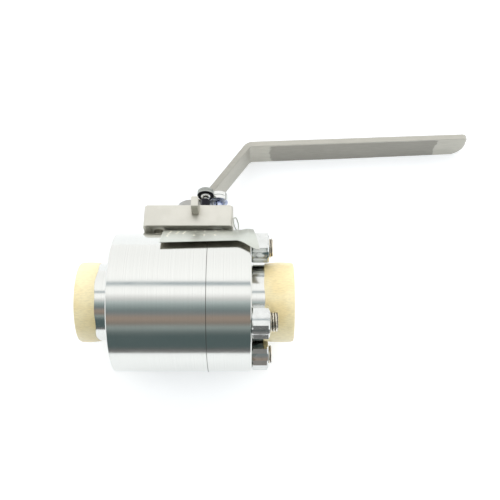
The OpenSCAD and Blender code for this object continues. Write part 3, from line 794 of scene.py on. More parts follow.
@dataclass
class Studio:
    """The camera, the light and the pale floor that the valve lies on.

    The valve lies on its back on the floor, so the floor stands behind it in its own frame,
    and the camera looks nearly straight at the floor.
    """

    lens_mm: float = 55.1
    distance: float = 635.0
    elevation_deg: float = -30.0
    aim_x: float = 51.4
    aim_up: float = 43.2
    floor_tilt_deg: float = 17.3
    floor_size: float = 1.3
    table_glow: float = 0.3
    lamp_size: tuple[float, float] = (1.2, 0.7)
    lamp_watts: float = 3.0
    # Angle round the flow axis, colour and how many times brighter: white screens above and
    # behind the camera, a dark band where the camera and the room stand, a pale table below
    room_bands: tuple[tuple[float, str, float], ...] = (
        (-144, "#FFFFFF", 1.28), (-88, "#FFFFFF", 1.26), (-64, "#FFFFFF", 1.3), (-44, "#FFFFFF", 1.35),
        (-38, "#FFFFFF", 1.3), (-35, "#AEBAC0", 1.0), (-32, "#B2BEC4", 1.0), (-29, "#FFFFFF", 1.3),
        (-22, "#FFFFFF", 1.35), (-18, "#FFFFFF", 1.35), (-13, "#FFFFFF", 1.08), (-9, "#E8E8E8", 1.0),
        (-4, "#C8D4D4", 1.0), (1, "#AAB6B6", 1.0), (6, "#909E9E", 1.0), (10, "#818C8E", 1.0),
        (15, "#909292", 1.0), (20, "#AA9A8E", 1.0), (25, "#AA9A8E", 1.0), (30, "#90867E", 1.0),
        (37, "#A2AEAC", 1.0), (45, "#747F7F", 1.0), (51, "#5D6C6D", 1.0), (73, "#5D6C6D", 1.0),
        (79, "#737373", 1.0), (86, "#9B9B9B", 1.0), (93, "#EDEDED", 1.0), (101, "#FFFFFF", 1.0),
        (109, "#FFFFFF", 1.15), (119, "#FFFFFF", 1.22),
    )

    def camera(self) -> None:
        """Makes the camera at the viewing angle, looking up past the level of the flow axis."""
        tilt = math.radians(-self.elevation_deg)
        forward = Vector((0, math.cos(tilt), math.sin(tilt)))
        up = Vector((0, -math.sin(tilt), math.cos(tilt)))
        data = bpy.data.cameras.new("camera")
        data.sensor_width = 36.0
        data.lens = self.lens_mm
        data.clip_start = 0.01
        camera = bpy.data.objects.new("camera", data)
        camera.location = (forward * -self.distance + up * self.aim_up + Vector((self.aim_x, 0, 0))) * MM
        camera.rotation_euler = (math.pi / 2 + tilt, 0, 0)
        bpy.context.scene.collection.objects.link(camera)
        bpy.context.scene.camera = camera
        LOG.info("camera %.0f mm away, %.0f degrees", self.distance, self.elevation_deg)

    def floor(self, clearance_mm: float = 0.4) -> None:
        """Makes the floor, which is close behind the barrel and only seen from the front.

        Args:
            clearance_mm: The gap between the barrel's back and the floor.
        """
        body_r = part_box("closure")[1].y
        tilt = math.radians(self.floor_tilt_deg)
        normal = Vector((0, math.cos(tilt), math.sin(tilt)))
        side = Vector((0, -math.sin(tilt), math.cos(tilt)))
        centre = normal * (body_r + metres(clearance_mm))
        half = self.floor_size / 2
        corners = [centre + Vector((x * half, 0, 0)) + side * z * half
                   for x, z in ((-1, -1), (-1, 1), (1, 1), (1, -1))]
        material, tree, shader = blank_material("pale floor")
        coords, _ = object_parts(tree)
        # Nine patches per metre, each about 110 mm across
        mottle = add(tree, "TexNoise", {"Scale": 9.0, "Detail": 4.0}, {"Vector": coords})
        tone = add(tree, "Mix", {"data_type": "RGBA", 6: linear("#FAFBFD"), 7: linear("#F4F6F9")},
                   {0: mottle.outputs["Fac"]})
        tree.links.new(tone.outputs[2], shader.inputs["Base Color"])
        shader.inputs["Roughness"].default_value = 0.9
        shader.inputs["Specular IOR Level"].default_value = 0.1
        tree.links.new(tone.outputs[2], shader.inputs["Emission Color"])
        shader.inputs["Emission Strength"].default_value = self.table_glow
        back = add(tree, "NewGeometry")
        clear = add(tree, "BsdfTransparent")
        mixed = add(tree, "MixShader", None, {0: back.outputs["Backfacing"], 1: shader.outputs[0],
                                              2: clear.outputs[0]})
        tree.links.new(mixed.outputs[0], tree.nodes["Material Output"].inputs["Surface"])
        mesh = bpy.data.meshes.new("pale_floor")
        mesh.from_pydata(corners, [], [(0, 1, 2, 3)])
        mesh.materials.append(material)
        floor = placed_in_scene("pale_floor", mesh)
        if floor.data.polygons[0].normal.dot(normal) > 0:
            mesh.flip_normals()

    def world(self) -> None:
        """Makes the light of the room, in the bands of room_bands.

        The angle runs round the flow axis: 0 is behind the camera and 90 is straight below the
        view. The camera itself sees plain white, and the room's two ends are white as well.
        """
        world = bpy.data.worlds.new("studio")
        bpy.context.scene.world = world
        world.use_nodes = True
        tree = world.node_tree
        tree.nodes.clear()
        tilt = math.radians(-self.elevation_deg)
        parts = add(tree, "SeparateXYZ", None, {0: add(tree, "TexCoord").outputs["Generated"]})
        toward = self.mixed_axes(tree, parts, -math.cos(tilt), -math.sin(tilt))
        down = self.mixed_axes(tree, parts, math.sin(tilt), -math.cos(tilt))
        angle = add(tree, "Math", {"operation": "ARCTAN2"}, {0: down, 1: toward})
        turn = add(tree, "Math", {"operation": "MULTIPLY_ADD", 1: 0.5 / math.pi, 2: 0.5},
                   {0: angle.outputs[0]})
        spread = add(tree, "Math", {"operation": "ABSOLUTE"}, {0: parts.outputs["X"]})
        streaks = add(tree, "TexNoise", {"Scale": 14.0, "Detail": 3.0}, {"Vector": add(
            tree, "Mapping", {"Scale": (6.0, 1.0, 1.0)},
            {"Vector": add(tree, "TexCoord").outputs["Generated"]}).outputs[0]})
        uneven = add(tree, "Math", {"operation": "MULTIPLY_ADD", 1: 0.02, 2: -0.01},
                     {0: streaks.outputs["Fac"]})
        place = add(tree, "Math", {"operation": "ADD"}, {0: turn.outputs[0], 1: uneven.outputs[0]})
        bands = [(self.turn_at(degrees), linear(code, times)) for degrees, code, times in self.room_bands]
        room = ramp(tree, place.outputs[0], bands, smooth=False)
        ends = ramp(tree, spread.outputs[0], [(0.72, 0.0), (0.95, 0.9)])
        light = add(tree, "Mix", {"data_type": "RGBA", 7: linear("#FFFFFF", 1.1)}, {0: ends, 6: room})
        lit = add(tree, "Background", {"Strength": 1.0}, {"Color": light.outputs[2]})
        plain = add(tree, "Background", {"Color": linear("#FFFFFF"), "Strength": 1.0})
        seen = add(tree, "LightPath")
        shown = add(tree, "MixShader", None, {0: seen.outputs["Is Camera Ray"], 1: lit.outputs[0],
                                              2: plain.outputs[0]})
        out = add(tree, "OutputWorld")
        tree.links.new(shown.outputs[0], out.inputs["Surface"])

    @staticmethod
    def turn_at(degrees: float) -> float:
        """An angle round the flow axis as a place on the ramp."""
        return degrees / 360 + 0.5

    @staticmethod
    def mixed_axes(tree: bpy.types.NodeTree, parts: bpy.types.Node, y: float,
                   z: float) -> bpy.types.NodeSocket:
        """Adds up shares of two axes.

        Args:
            tree: The node tree to add to.
            parts: The node that splits the coordinates.
            y: The share of the Y part.
            z: The share of the Z part.

        Returns:
            The sum's socket.
        """
        first = add(tree, "Math", {"operation": "MULTIPLY", 1: y}, {0: parts.outputs["Y"]})
        both = add(tree, "Math", {"operation": "MULTIPLY_ADD", 1: z},
                   {0: parts.outputs["Z"], 2: first.outputs[0]})
        return both.outputs[0]

    def lights(self) -> None:
        """Adds two large soft lights, above the view and beside the camera.

        They only lift the matt surfaces; the polished ones show the room.
        """
        tilt = math.radians(-self.elevation_deg)
        toward = Vector((0, -math.cos(tilt), -math.sin(tilt)))
        up = Vector((0, -math.sin(tilt), math.cos(tilt)))
        for name, place in (
            ("window light", toward * 0.35 + up * 1.1 + Vector((-0.25, 0, 0))),
            ("fill light", toward * 0.9 + Vector((0.35, 0, 0)) - up * 0.25),
        ):
            data = bpy.data.lights.new(name, "AREA")
            data.shape = "RECTANGLE"
            data.size, data.size_y = self.lamp_size
            data.energy = self.lamp_watts
            data.color = (1.0, 0.99, 0.97)
            lamp = bpy.data.objects.new(name, data)
            lamp.location = place
            lamp.rotation_euler = (-place).to_track_quat("-Z", "Y").to_euler()
            lamp.visible_glossy = False
            bpy.context.scene.collection.objects.link(lamp)

    def build(self) -> None:
        """Sets the stage."""
        view = bpy.context.scene.view_settings
        view.view_transform = "Standard"
        view.look = "None"
        self.camera()
        self.floor()
        self.world()
        self.lights()


# ------------------------------------------------------------- sub-assemblies


@dataclass
class Pressure:
    """The forged body and its bolted closure, the nuts and the studs."""

    finishes: Finishes
    stud_d: float = 16.0
    pitch: float = 2.0
    nut_af: float = 24.0
    # How far each nut is turned from a corner straight up, in degrees
    nut_turns: tuple[float, ...] = (10.0, 0.0, 7.5, -26.0)
    # The nuts' chamfer at the corners, the flat ring's edge, the countersink, the bore's play
    corner_chamfer: float = 1.15
    ring_edge: float = 0.25
    countersink: float = 0.9
    bore_play: float = 0.1
    nut_steps: int = 96
    thread_depth: float = 1.15
    # How steeply the groove rises, and what share of its depth is painted dark, as shade in the root
    groove_slope: float = 2.6
    dark_share: float = 0.6
    stud_steps: int = 48
    edge: float = 0.35
    # How far in from the barrel's skin the rim is looked for and the dark joint is drawn
    rim_band: float = 0.6
    seam_band: float = 1.2

    def shells(self) -> None:
        """Makes the body and the closure, with their rims broken and a dark line at the joint."""
        f = self.finishes
        body_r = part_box("closure")[1].y
        joint = min(v.co.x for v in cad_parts["closure"].data.vertices
                    if math.hypot(v.co.y, v.co.z) > body_r - metres(self.rim_band))
        for node in ("body", "closure"):
            piece = softened(f"{node}_forging", node, self.edge, [f.turned, f.seam], angle_deg=30.0)
            turned_normals(piece)
            for face in piece.data.polygons:
                x, y, z = face.center
                outer = math.hypot(y, z) > body_r - metres(self.seam_band)
                if outer and abs(x - joint) < metres(self.edge):
                    face.material_index = 1
            hand_over(piece, Body.HOUSING, Slot.POLISHED, node)

    def nut_centres(self) -> list[tuple[float, float]]:
        """Works out the nuts' places from the studs' box.

        Returns:
            The places in Y and Z, in millimetres.
        """
        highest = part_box("closure_studs")[1]
        reach_y = highest.y / MM - self.stud_d / 2
        reach_z = highest.z / MM - self.stud_d / 2
        return [(sy * reach_y, sz * reach_z) for sy, sz in ((1, 1), (-1, 1), (-1, -1), (1, -1))]

    def nut_rows(self, height: float) -> list[list[tuple[float, float]]]:
        """Works out rings of (radius, x) round a nut's faces, sides and bore.

        Args:
            height: The nut's height, in millimetres.

        Returns:
            The rings in order, of which the last joins the first.
        """
        steps, flat = self.nut_steps, self.nut_af / 2
        bore = self.stud_d / 2 + self.bore_play
        corner = self.nut_af / math.sqrt(3)
        low = [(0.0, flat - 0.5), (self.ring_edge, flat - 0.1), (self.corner_chamfer, corner)]
        levels = low + [(height - x, limit) for x, limit in reversed(low)]
        rows = [[(bore + self.countersink, 0.0)] * steps]
        for x, limit in levels:
            rows.append([(min(limit, self.flat_reach(k, steps)), x) for k in range(steps)])
        rows.append([(bore + self.countersink, height)] * steps)
        rows.append([(bore, height - self.countersink)] * steps)
        rows.append([(bore, self.countersink)] * steps)
        return rows

    def nuts(self) -> None:
        """Makes the hexagon nuts, chamfered on both faces, with a countersunk bore."""
        lowest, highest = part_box("closure_nuts")
        rows = self.nut_rows((highest.x - lowest.x) / MM)
        verts: list = []
        faces: list = []
        for (cy, cz), turn in zip(self.nut_centres(), self.nut_turns):
            faces += ring_faces(len(rows), self.nut_steps, len(verts), True)
            for row in rows:
                for k, (r, x) in enumerate(row):
                    a = 2 * math.pi * k / self.nut_steps - math.radians(turn)
                    verts.append((lowest.x + metres(x), metres(cy + r * math.sin(a)),
                                  metres(cz + r * math.cos(a))))
        piece = mesh_piece("closure_hex_nuts", verts, faces, [self.finishes.nut], sharp_deg=24.0)
        hand_over(piece, Body.HOUSING, Slot.NUT, "closure_nuts")

    def flat_reach(self, k: int, steps: int) -> float:
        """How far the hexagon reaches at step k round it, with a corner at step 0."""
        a = math.degrees(2 * math.pi * k / steps) % 60
        return self.nut_af / 2 / math.cos(math.radians(a - 30))

    def studs(self) -> None:
        """Makes the studs with a real helical thread, with painted shade at its root, on the end that
        shows.
        """
        start_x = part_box("closure_studs")[0].x / MM
        nut_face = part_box("closure_nuts")[1].x
        verts: list = []
        faces: list = []
        slots: list[int] = []
        steps = self.stud_steps
        root = self.stud_d / 2 - self.thread_depth * self.dark_share
        for (cy, cz), end in zip(self.nut_centres(), self.stud_reaches(nut_face)):
            start = nut_face / MM - 2.0
            rows = [[(self.stud_d / 2 - 1.0, start_x)] * steps, [(self.stud_d / 2, start_x + 1.0)] * steps,
                    [(self.stud_d / 2, start - 0.3)] * steps]
            rows += self.thread_rows(start, end, steps)
            base = len(verts)
            for row in rows:
                for k, (r, x) in enumerate(row):
                    a = 2 * math.pi * k / steps
                    verts.append((metres(x), metres(cy + r * math.sin(a)), metres(cz + r * math.cos(a))))
            faces += ring_faces(len(rows), steps, base)
            for i in range(len(rows) - 1):
                for k in range(steps):
                    # Faces deep in the groove take the dark finish: painted shade in the thread root
                    deep = (rows[i][k][0] + rows[i + 1][(k + 1) % steps][0]) / 2 < root
                    slots.append(1 if deep and 2 < i < len(rows) - 3 else 0)
            faces.append(tuple(base + k for k in reversed(range(steps))))
            faces.append(tuple(base + (len(rows) - 1) * steps + k for k in range(steps)))
            slots += [0, 0]
        piece = mesh_piece("closure_threaded_studs", verts, faces,
                           [self.finishes.thread, self.finishes.seam], slots, sharp_deg=50.0)
        hand_over(piece, Body.HOUSING, Slot.STUD, "closure_studs")

    def thread_rows(self, start: float, end: float, steps: int) -> list[list[tuple[float, float]]]:
        """Works out rings of (radius, x) that follow the thread's groove along the stud.

        Args:
            start: Where the thread begins along the flow axis, in millimetres.
            end: Where the stud ends.
            steps: How many points in each ring.

        Returns:
            The rings, of which the last one closes the tip's chamfer.
        """
        rows = []
        count = int((end - start) / self.pitch * 8)
        for i in range(count + 1):
            x = start + (end - start) * i / count
            row = []
            for k in range(steps):
                phase = ((x - start) / self.pitch + k / steps) % 1.0
                groove = self.thread_depth * max(0.0, 1 - abs(phase - 0.5) * self.groove_slope)
                tip = max(0.0, 1.1 - (end - x)) * 0.9
                row.append((self.stud_d / 2 - max(groove, tip), x))
            rows.append(row)
        rows.append([(self.stud_d / 2 - 2.2, end)] * steps)
        return rows

    def stud_reaches(self, nut_face: float) -> list[float]:
        """Finds where each stud ends along the flow axis, in the frame's mesh.

        Args:
            nut_face: Where the nuts end, in metres, for a stud that has no points there.

        Returns:
            The ends, in millimetres, in the order of nut_centres.
        """
        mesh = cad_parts["closure_studs"].data
        ends = []
        for cy, cz in self.nut_centres():
            near = [v.co.x for v in mesh.vertices
                    if abs(v.co.y - metres(cy)) < 0.02 and abs(v.co.z - metres(cz)) < 0.02]
            ends.append(max(near) / MM if near else nut_face / MM)
        return ends

    def build(self) -> None:
        """Makes every piece of the pressure shell."""
        self.shells()
        self.nuts()
        self.studs()


@dataclass
class Internals:
    """What the closed shell holds: ball, seats, stem, packing and seals."""

    finishes: Finishes

    def build(self) -> None:
        """Dresses the inner CAD nodes, and smooths those that show in the bore."""
        f = self.finishes
        ball = softened("full_bore_ball", "ball", 0.4, [f.mirror], angle_deg=35.0)
        hand_over(ball, Body.BALL, Slot.BALL, "ball")
        for side in ("inlet", "outlet"):
            seat = softened(f"{side}_seat_ring", f"{side}_seat", 0.2, [f.ptfe], segments=1, angle_deg=35.0)
            hand_over(seat, Body.HOUSING, Slot.SEAT, f"{side}_seat")
        finishes = {
            "inlet_seat_spring": f.spring, "outlet_seat_spring": f.spring, "body_gasket": f.graphite,
            "closure_o_ring": f.rubber, "stem_thrust_washer": f.ptfe, "stem_o_ring": f.rubber,
            "stem_packing": f.ptfe, "packing_follower": f.hub, "disc_springs": f.spring,
            "antistatic_ball": f.mirror, "antistatic_spring": f.spring, "pad_gasket": f.graphite,
        }
        for node, material in finishes.items():
            dress(node, material)


@dataclass
class Topworks:
    """The mounting pad and what stands on it: key, screws, stop screws and stop plate."""

    finishes: Finishes
    # Both stop screws: shank, hexagon socket's circle, broken edge, groove round the head
    shank_r: float = 4.0
    socket_r: float = 3.6
    edge: float = 0.6
    groove: float = 0.25
    # The domed one: head, neck, dome and collar; the plain one: head and the flare under it
    domed_head: float = 5.1
    neck_r: float = 1.6
    neck_height: float = 4.9
    dome_out: float = 2.55
    dome_height: float = 1.9
    collar_r: float = 4.2
    plain_head: float = 8.0
    flare: float = 1.2
    turn_steps: int = 96

    def pad(self) -> None:
        """Makes the pad and the key with softly broken edges."""
        f = self.finishes
        pad = softened("actuator_mounting_pad", "mounting_pad", 0.5, [f.blasted], segments=3)
        hand_over(pad, Body.HOUSING, Slot.BLASTED, "mounting_pad")
        key = softened("pad_locating_key", "locating_key", 0.4, [f.blasted], segments=3)
        hand_over(key, Body.HOUSING, Slot.BLASTED, "locating_key")
        for node, name, slot, material in (
            ("pad_screws", "pad_socket_screws", Slot.NUT, f.nut),
            ("gland_nut", "slotted_gland_nut", Slot.STEM, f.hub),
        ):
            hand_over(softened(name, node, 0.2, [material]), Body.HOUSING, slot, node)

    def stop_screw(self, node: str, name: str, slot: Slot, side: bpy.types.Material,
                   under: bpy.types.Material, domed: bool) -> None:
        """Makes a stop screw with a grooved head, on a plain shank or on a domed collar and a neck.

        Args:
            node: The CAD node that the screw stands for.
            name: The new piece's name.
            slot: The record's material slot.
            side: The finish of the head's side and top.
            under: The finish of the head's underside and the shank, painted dark: painted shade on the open
                screw, a painted dark reflection on the closed one.
            domed: Whether a bright domed collar, which is a painted highlight, and a thin neck carry the
                head.
        """
        lowest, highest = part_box(node)
        head_r = (highest.x - lowest.x) / 2 / MM
        shank_r, neck_r, edge = self.shank_r, self.neck_r, self.edge
        centre = (lowest + highest) / 2
        z0, z1 = lowest.z / MM, highest.z / MM
        head_h = self.domed_head if domed else self.plain_head
        zu = z1 - head_h
        # The outline from the shank's foot to the socket, and a material number for each step:
        # 0 for the side, 1 for the underside and shank, painted dark, and 2 for the bright collar, a
        # painted highlight
        profile = [(0, z0), (shank_r - edge, z0), (shank_r, z0 + edge)]
        finish = [1, 1, 1]
        if domed:
            neck_z = zu - self.neck_height
            profile += [(shank_r, neck_z), (neck_r, neck_z), (neck_r, zu - 2.2)]
            finish += [1, 2, 2]
            profile += [(neck_r + self.dome_out * math.sin(math.radians(t)),
                         zu - 0.3 - self.dome_height * math.cos(math.radians(t)))
                        for t in (15, 30, 45, 60, 75, 90)]
            profile += [(self.collar_r - 0.05, zu - 0.05), (self.collar_r, zu), (head_r - 0.5, zu),
                        (head_r, zu + 0.5)]
            finish += [2] * 7 + [1, 1, 0]
        else:
            profile += [(shank_r, zu - self.flare)]
            profile += [(shank_r + (head_r - shank_r - 0.4) * t / 6,
                         zu - self.flare * math.cos(math.pi * t / 12)) for t in range(1, 7)]
            profile += [(head_r, zu + 0.4)]
            finish += [1] * 7 + [0]
        profile += [(head_r, zu + head_h * 0.42), (head_r - self.groove, zu + head_h * 0.47),
                    (head_r, zu + head_h * 0.52), (head_r, z1 - edge), (head_r - edge, z1),
                    (self.socket_r + 0.3, z1), (self.socket_r, z1 - 0.3),
                    (self.socket_r, z1 - head_h * 0.55), (0, z1 - head_h * 0.6)]
        finish += [0] * 9
        verts, faces = lathe(profile, self.turn_steps)
        slots = [finish[min(min(face) // self.turn_steps, len(finish) - 1)] for face in faces]
        move = Matrix.Translation((centre.x, centre.y, 0))
        piece = mesh_piece(name, placed(verts, move), faces,
                           [side, under, self.finishes.bright], slots, sharp_deg=30.0)
        hand_over(piece, Body.HOUSING, slot, node)

    def stops(self) -> None:
        """Makes the two stop screws and the plate that meets them."""
        f = self.finishes
        # The open screw's nearly black underside and shank are painted shade, and its bright collar is a
        # painted highlight
        self.stop_screw("open_stop_screw", "open_travel_stop", Slot.OXIDE, f.knurl, f.oxide, True)
        # The closed screw's dark-blue underside and shank are a painted reflection
        self.stop_screw("closed_stop_screw", "closed_travel_stop", Slot.BLUED, f.bright, f.blued, False)
        plate = softened("quarter_turn_stop_plate", "stop_plate", 0.3, [f.blasted])
        hand_over(plate, Body.LEVER, Slot.BLASTED, "stop_plate")

    def build(self) -> None:
        """Makes every piece on the pad."""
        self.pad()
        self.stops()


@dataclass
class Lever:
    """The bent bar, its weld, its hub and the stem that it turns."""

    finishes: Finishes
    edge: float = 1.5
    bead: float = 2.4
    # The bead's ripples, how deep they are, and its core's place inside the CAD weld's box
    ripples: int = 13
    ripple_share: float = 0.09
    bead_in: float = 1.9
    bead_up: float = 0.75

    def bar(self) -> None:
        """Makes the bar with its long edges rounded, as rolled bar has them."""
        piece = softened("bent_lever_bar", "lever_bar", self.edge, [self.finishes.lever],
                         segments=4, angle_deg=42.0)
        hand_over(piece, Body.LEVER, Slot.LEVER, "lever_bar")

    def weld(self) -> None:
        """Makes the rippled bead between bar and hub."""
        lowest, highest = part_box("lever_weld")
        steps, sides = 66, 12
        verts = []
        for i in range(steps + 1):
            t = i / steps
            y = lowest.y + (highest.y - lowest.y) * t
            ripple = 1 + self.ripple_share * math.sin(t * math.pi * 2 * self.ripples)
            taper = min(1.0, 6 * t, 6 * (1 - t)) ** 0.5
            r = metres(self.bead) * (0.35 + 0.65 * taper) * ripple * 0.62
            cx = highest.x - metres(self.bead_in)
            cz = lowest.z + metres(self.bead_up)
            for k in range(sides):
                a = 2 * math.pi * k / sides
                verts.append((cx + 1.15 * r * math.cos(a), y, max(cz + r * math.sin(a), lowest.z)))
        faces = ring_faces(steps + 1, sides)
        faces.append(tuple(range(sides)))
        faces.append(tuple(steps * sides + k for k in reversed(range(sides))))
        piece = mesh_piece("lever_weld_bead", verts, faces, [self.finishes.weld], sharp_deg=60.0)
        hand_over(piece, Body.LEVER, Slot.WELD, "lever_weld")

    def drive(self) -> None:
        """Makes the hub, the stem and the set screw."""
        f = self.finishes
        for node, name, slot, material, width in (
            ("lever_hub", "welded_lever_hub", Slot.HUB, f.hub, 0.3),
            ("stem", "blowout_proof_stem", Slot.STEM, f.hub, 0.25),
            ("hub_set_screw", "hub_grub_screw", Slot.OXIDE, f.oxide, 0.15),
        ):
            hand_over(softened(name, node, width, [material]), Body.LEVER, slot, node)

    def build(self) -> None:
        """Makes every piece that turns with the lever."""
        self.bar()
        self.weld()
        self.drive()


@dataclass
class Tag:
    """The thin steel tag over the barrel, with punched dots, and its wire."""

    finishes: Finishes
    body_r: float = 57.5
    start_x: float = -19.5
    length: float = 78.5
    slant: float = 5.0
    lift_from: float = 40.0
    lift_to: float = 51.0
    nut_reach: float = 60.03
    width: float = 26.5
    thickness: float = 0.5
    cell: float = 0.5
    dot_r: float = 1.25
    dot_height: float = 0.4
    hole_r: float = 1.5
    hole_along: float = 58.5
    # How many cells the hole lies below the upper edge, and half the block cut out for it
    hole_down: int = 5
    hole_block: int = 4
    # Round the barrel, up from level: the lower edge, its climb along the tag and its drop at
    # the tail; the upper edge and its drop
    low_deg: float = 23.5
    low_climb_deg: float = 3.5
    low_drop_deg: float = 12.0
    high_deg: float = 55.0
    high_drop_deg: float = 9.0
    # Gaps under the tag: all over, more at the lower and the upper edge, and over the nuts
    gap: float = 0.5
    low_gap: float = 2.8
    high_gap: float = 1.2
    nut_gap: float = 0.6
    # The wire ring: its radius, its strands, how far they lie from its core, and its turn
    wire_r: float = 5.4
    strand_r: float = 0.42
    lay_r: float = 0.3
    twists: int = 14
    wire_turn_deg: float = 68.0

    def ease(self, x: float, x0: float, x1: float) -> float:
        """Steps smoothly from 0 to 1.

        Args:
            x: The place.
            x0: Where the step begins.
            x1: Where it ends.

        Returns:
            The share, from 0 to 1.
        """
        t = max(0.0, min(1.0, (x - x0) / (x1 - x0)))
        return t * t * (3 - 2 * t)

    def point(self, u: float, v: float, out: float) -> Vector:
        """A point of the tag's surface.

        Args:
            u: Place along the tag, from 0 at the left to 1.
            v: Place across it, from 0 at the lower edge to 1.
            out: Height above the tag's inner face, in millimetres.

        Returns:
            The point, in metres.
        """
        x = self.start_x + u * (self.length - self.slant * v)
        tail = self.ease(x, self.lift_from, self.start_x + self.length)
        climb = self.low_climb_deg * (x - self.start_x) / self.length
        low = self.low_deg + climb - self.low_drop_deg * tail
        angle = math.radians(low * (1 - v) + (self.high_deg - self.high_drop_deg * tail) * v)
        lift = self.ease(x, self.lift_from, self.lift_to)
        r = self.body_r + self.gap + (1 - lift) * (self.low_gap * (1 - v) ** 2 + self.high_gap * v * v)
        r += lift * (max(0.0, self.nut_reach - self.body_r) + self.nut_gap) + out
        return Vector((metres(x), metres(-r * math.cos(angle)), metres(r * math.sin(angle))))

    def dots(self) -> list[tuple[float, float]]:
        """Works out the places of the punched dots.

        Returns:
            The places, in millimetres along the tag and across it.
        """
        places = [(-12.9 - 0.6 * r, 0.80 - 0.14 * r) for r in range(4)]
        places += [(x - 0.6 * r, 0.80 - 0.12 * r) for x in (-6.6, -1.2) for r in range(3)]
        places += [(x, v) for x in (6.7, 14.6, 23.2) for v in (0.84, 0.42)]
        return [((x - self.start_x) / (self.length - self.slant * v) * self.length, v * self.width)
                for x, v in places]

    def sheet(self) -> None:
        """Makes the bent sheet with raised dots and a wire hole."""
        width = self.width
        nu, nv = int(self.length / self.cell), int(width / self.cell)
        hole_u, hole_v = round(self.hole_along / self.cell), nv - self.hole_down
        dots = self.dots()

        def height(u_mm: float, v_mm: float) -> float:
            """How high the nearest dot raises the sheet."""
            near = min(math.hypot(u_mm - a, v_mm - b) for a, b in dots)
            return self.dot_height * max(0.0, math.cos(min(1.0, near / self.dot_r) * math.pi / 2))

        index: dict[tuple[int, int, int], int] = {}
        verts: list[Vector] = []
        faces: list[tuple[int, ...]] = []
        slots: list[int] = []
        for side in (0, 1):
            for i in range(nu + 1):
                for j in range(nv + 1):
                    u_mm, v_mm = i * self.length / nu, j * width / nv
                    out = height(u_mm, v_mm) + self.thickness * side
                    index[side, i, j] = len(verts)
                    verts.append(self.point(i / nu, j / nv, out))
        spread = self.hole_block
        ring = self.hole_ring(hole_u, hole_v, spread)
        inside = {(i, j) for i in range(hole_u - spread, hole_u + spread)
                  for j in range(hole_v - spread, hole_v + spread)}
        for i in range(nu):
            for j in range(nv):
                if (i, j) in inside:
                    continue
                near = min(math.hypot((i + 0.5) * self.length / nu - a, (j + 0.5) * width / nv - b)
                           for a, b in dots)
                # Dots take the brighter finish: fresh metal with a painted highlight
                mark = 1 if near < self.dot_r * 0.8 else 0
                corners = [(i, j), (i + 1, j), (i + 1, j + 1), (i, j + 1)]
                faces.append(tuple(index[1, a, b] for a, b in corners))
                faces.append(tuple(index[0, a, b] for a, b in (corners[0], *reversed(corners[1:]))))
                slots += [mark, 2]
        rim = [(i, 0) for i in range(nu)] + [(nu, j) for j in range(nv)]
        rim += [(i, nv) for i in range(nu, 0, -1)] + [(0, j) for j in range(nv, 0, -1)]
        self.wall(faces, slots, [index[0, i, j] for i, j in rim], [index[1, i, j] for i, j in rim])
        rings = []
        for side in (0, 1):
            inner = []
            for i, j in ring:
                a = math.atan2(j - hole_v, i - hole_u)
                r = self.hole_r / self.cell
                inner.append(len(verts))
                verts.append(self.point((hole_u + r * math.cos(a)) / nu, (hole_v + r * math.sin(a)) / nv,
                                        self.thickness * side))
            outer = [index[side, i, j] for i, j in ring]
            self.wall(faces, slots, outer, inner)
            rings.append(inner)
        self.wall(faces, slots, rings[0], rings[1])
        # The dots' finish carries a painted highlight, and the inner face's finish is painted lighter and
        # warmer for the light that reaches under the tag
        materials = [self.finishes.sheet, self.finishes.dot, self.finishes.matt]
        piece = mesh_piece("punched_identification_tag", verts, faces, materials, slots, sharp_deg=40.0)
        hand_over(piece, Body.HOUSING, Slot.TAG, "id_tag")

    @staticmethod
    def hole_ring(ci: int, cj: int, spread: int) -> list[tuple[int, int]]:
        """Lists the grid points round a square block.

        Args:
            ci: The block's centre along the tag.
            cj: Its centre across it.
            spread: Half its width.

        Returns:
            The points in order, once round.
        """
        low_i, high_i, low_j, high_j = ci - spread, ci + spread, cj - spread, cj + spread
        ring = [(i, low_j) for i in range(low_i, high_i)] + [(high_i, j) for j in range(low_j, high_j)]
        ring += [(i, high_j) for i in range(high_i, low_i, -1)]
        return ring + [(low_i, j) for j in range(high_j, low_j, -1)]

    @staticmethod
    def wall(faces: list, slots: list, first: Sequence[int], second: Sequence[int]) -> None:
        """Joins two closed rings of points with faces.

        Args:
            faces: The list of faces to add to.
            slots: The list of their material numbers.
            first: The first ring's point numbers.
            second: The second ring's, in the same order.
        """
        count = len(first)
        for k in range(count):
            n = (k + 1) % count
            faces.append((first[k], first[n], second[n], second[k]))
            slots.append(0)

    def wire(self) -> None:
        """Makes the twisted wire ring that ties the tag on."""
        lowest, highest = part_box("tag_wire")
        centre = (lowest + highest) / 2
        radius, strand, lay = metres(self.wire_r), metres(self.strand_r), metres(self.lay_r)
        turn = math.radians(self.wire_turn_deg)
        across = Vector((math.cos(turn), math.sin(turn), 0))
        verts, faces = [], []
        steps, sides = 160, 8
        for lane in (0, 1):
            faces += ring_faces(steps, sides, len(verts), True)
            for i in range(steps):
                a = 2 * math.pi * i / steps
                spin = self.twists * a + math.pi * lane
                ring_out = across * math.cos(a) + Vector((0, 0, math.sin(a)))
                normal = ring_out.cross(across.cross(Vector((0, 0, 1)))).normalized()
                side = ring_out.cross(normal).normalized()
                offset = (ring_out * math.cos(spin) + side * math.sin(spin)) * lay
                core = centre + ring_out * radius + offset
                for k in range(sides):
                    b = 2 * math.pi * k / sides
                    verts.append(core + (ring_out * math.cos(b) + side * math.sin(b)) * strand * 0.72)
        piece = mesh_piece("twisted_tag_wire", verts, faces, [self.finishes.sheet], sharp_deg=60.0)
        hand_over(piece, Body.HOUSING, Slot.TAG, "tag_wire")

    def build(self) -> None:
        """Makes the tag and its wire."""
        self.sheet()
        self.wire()


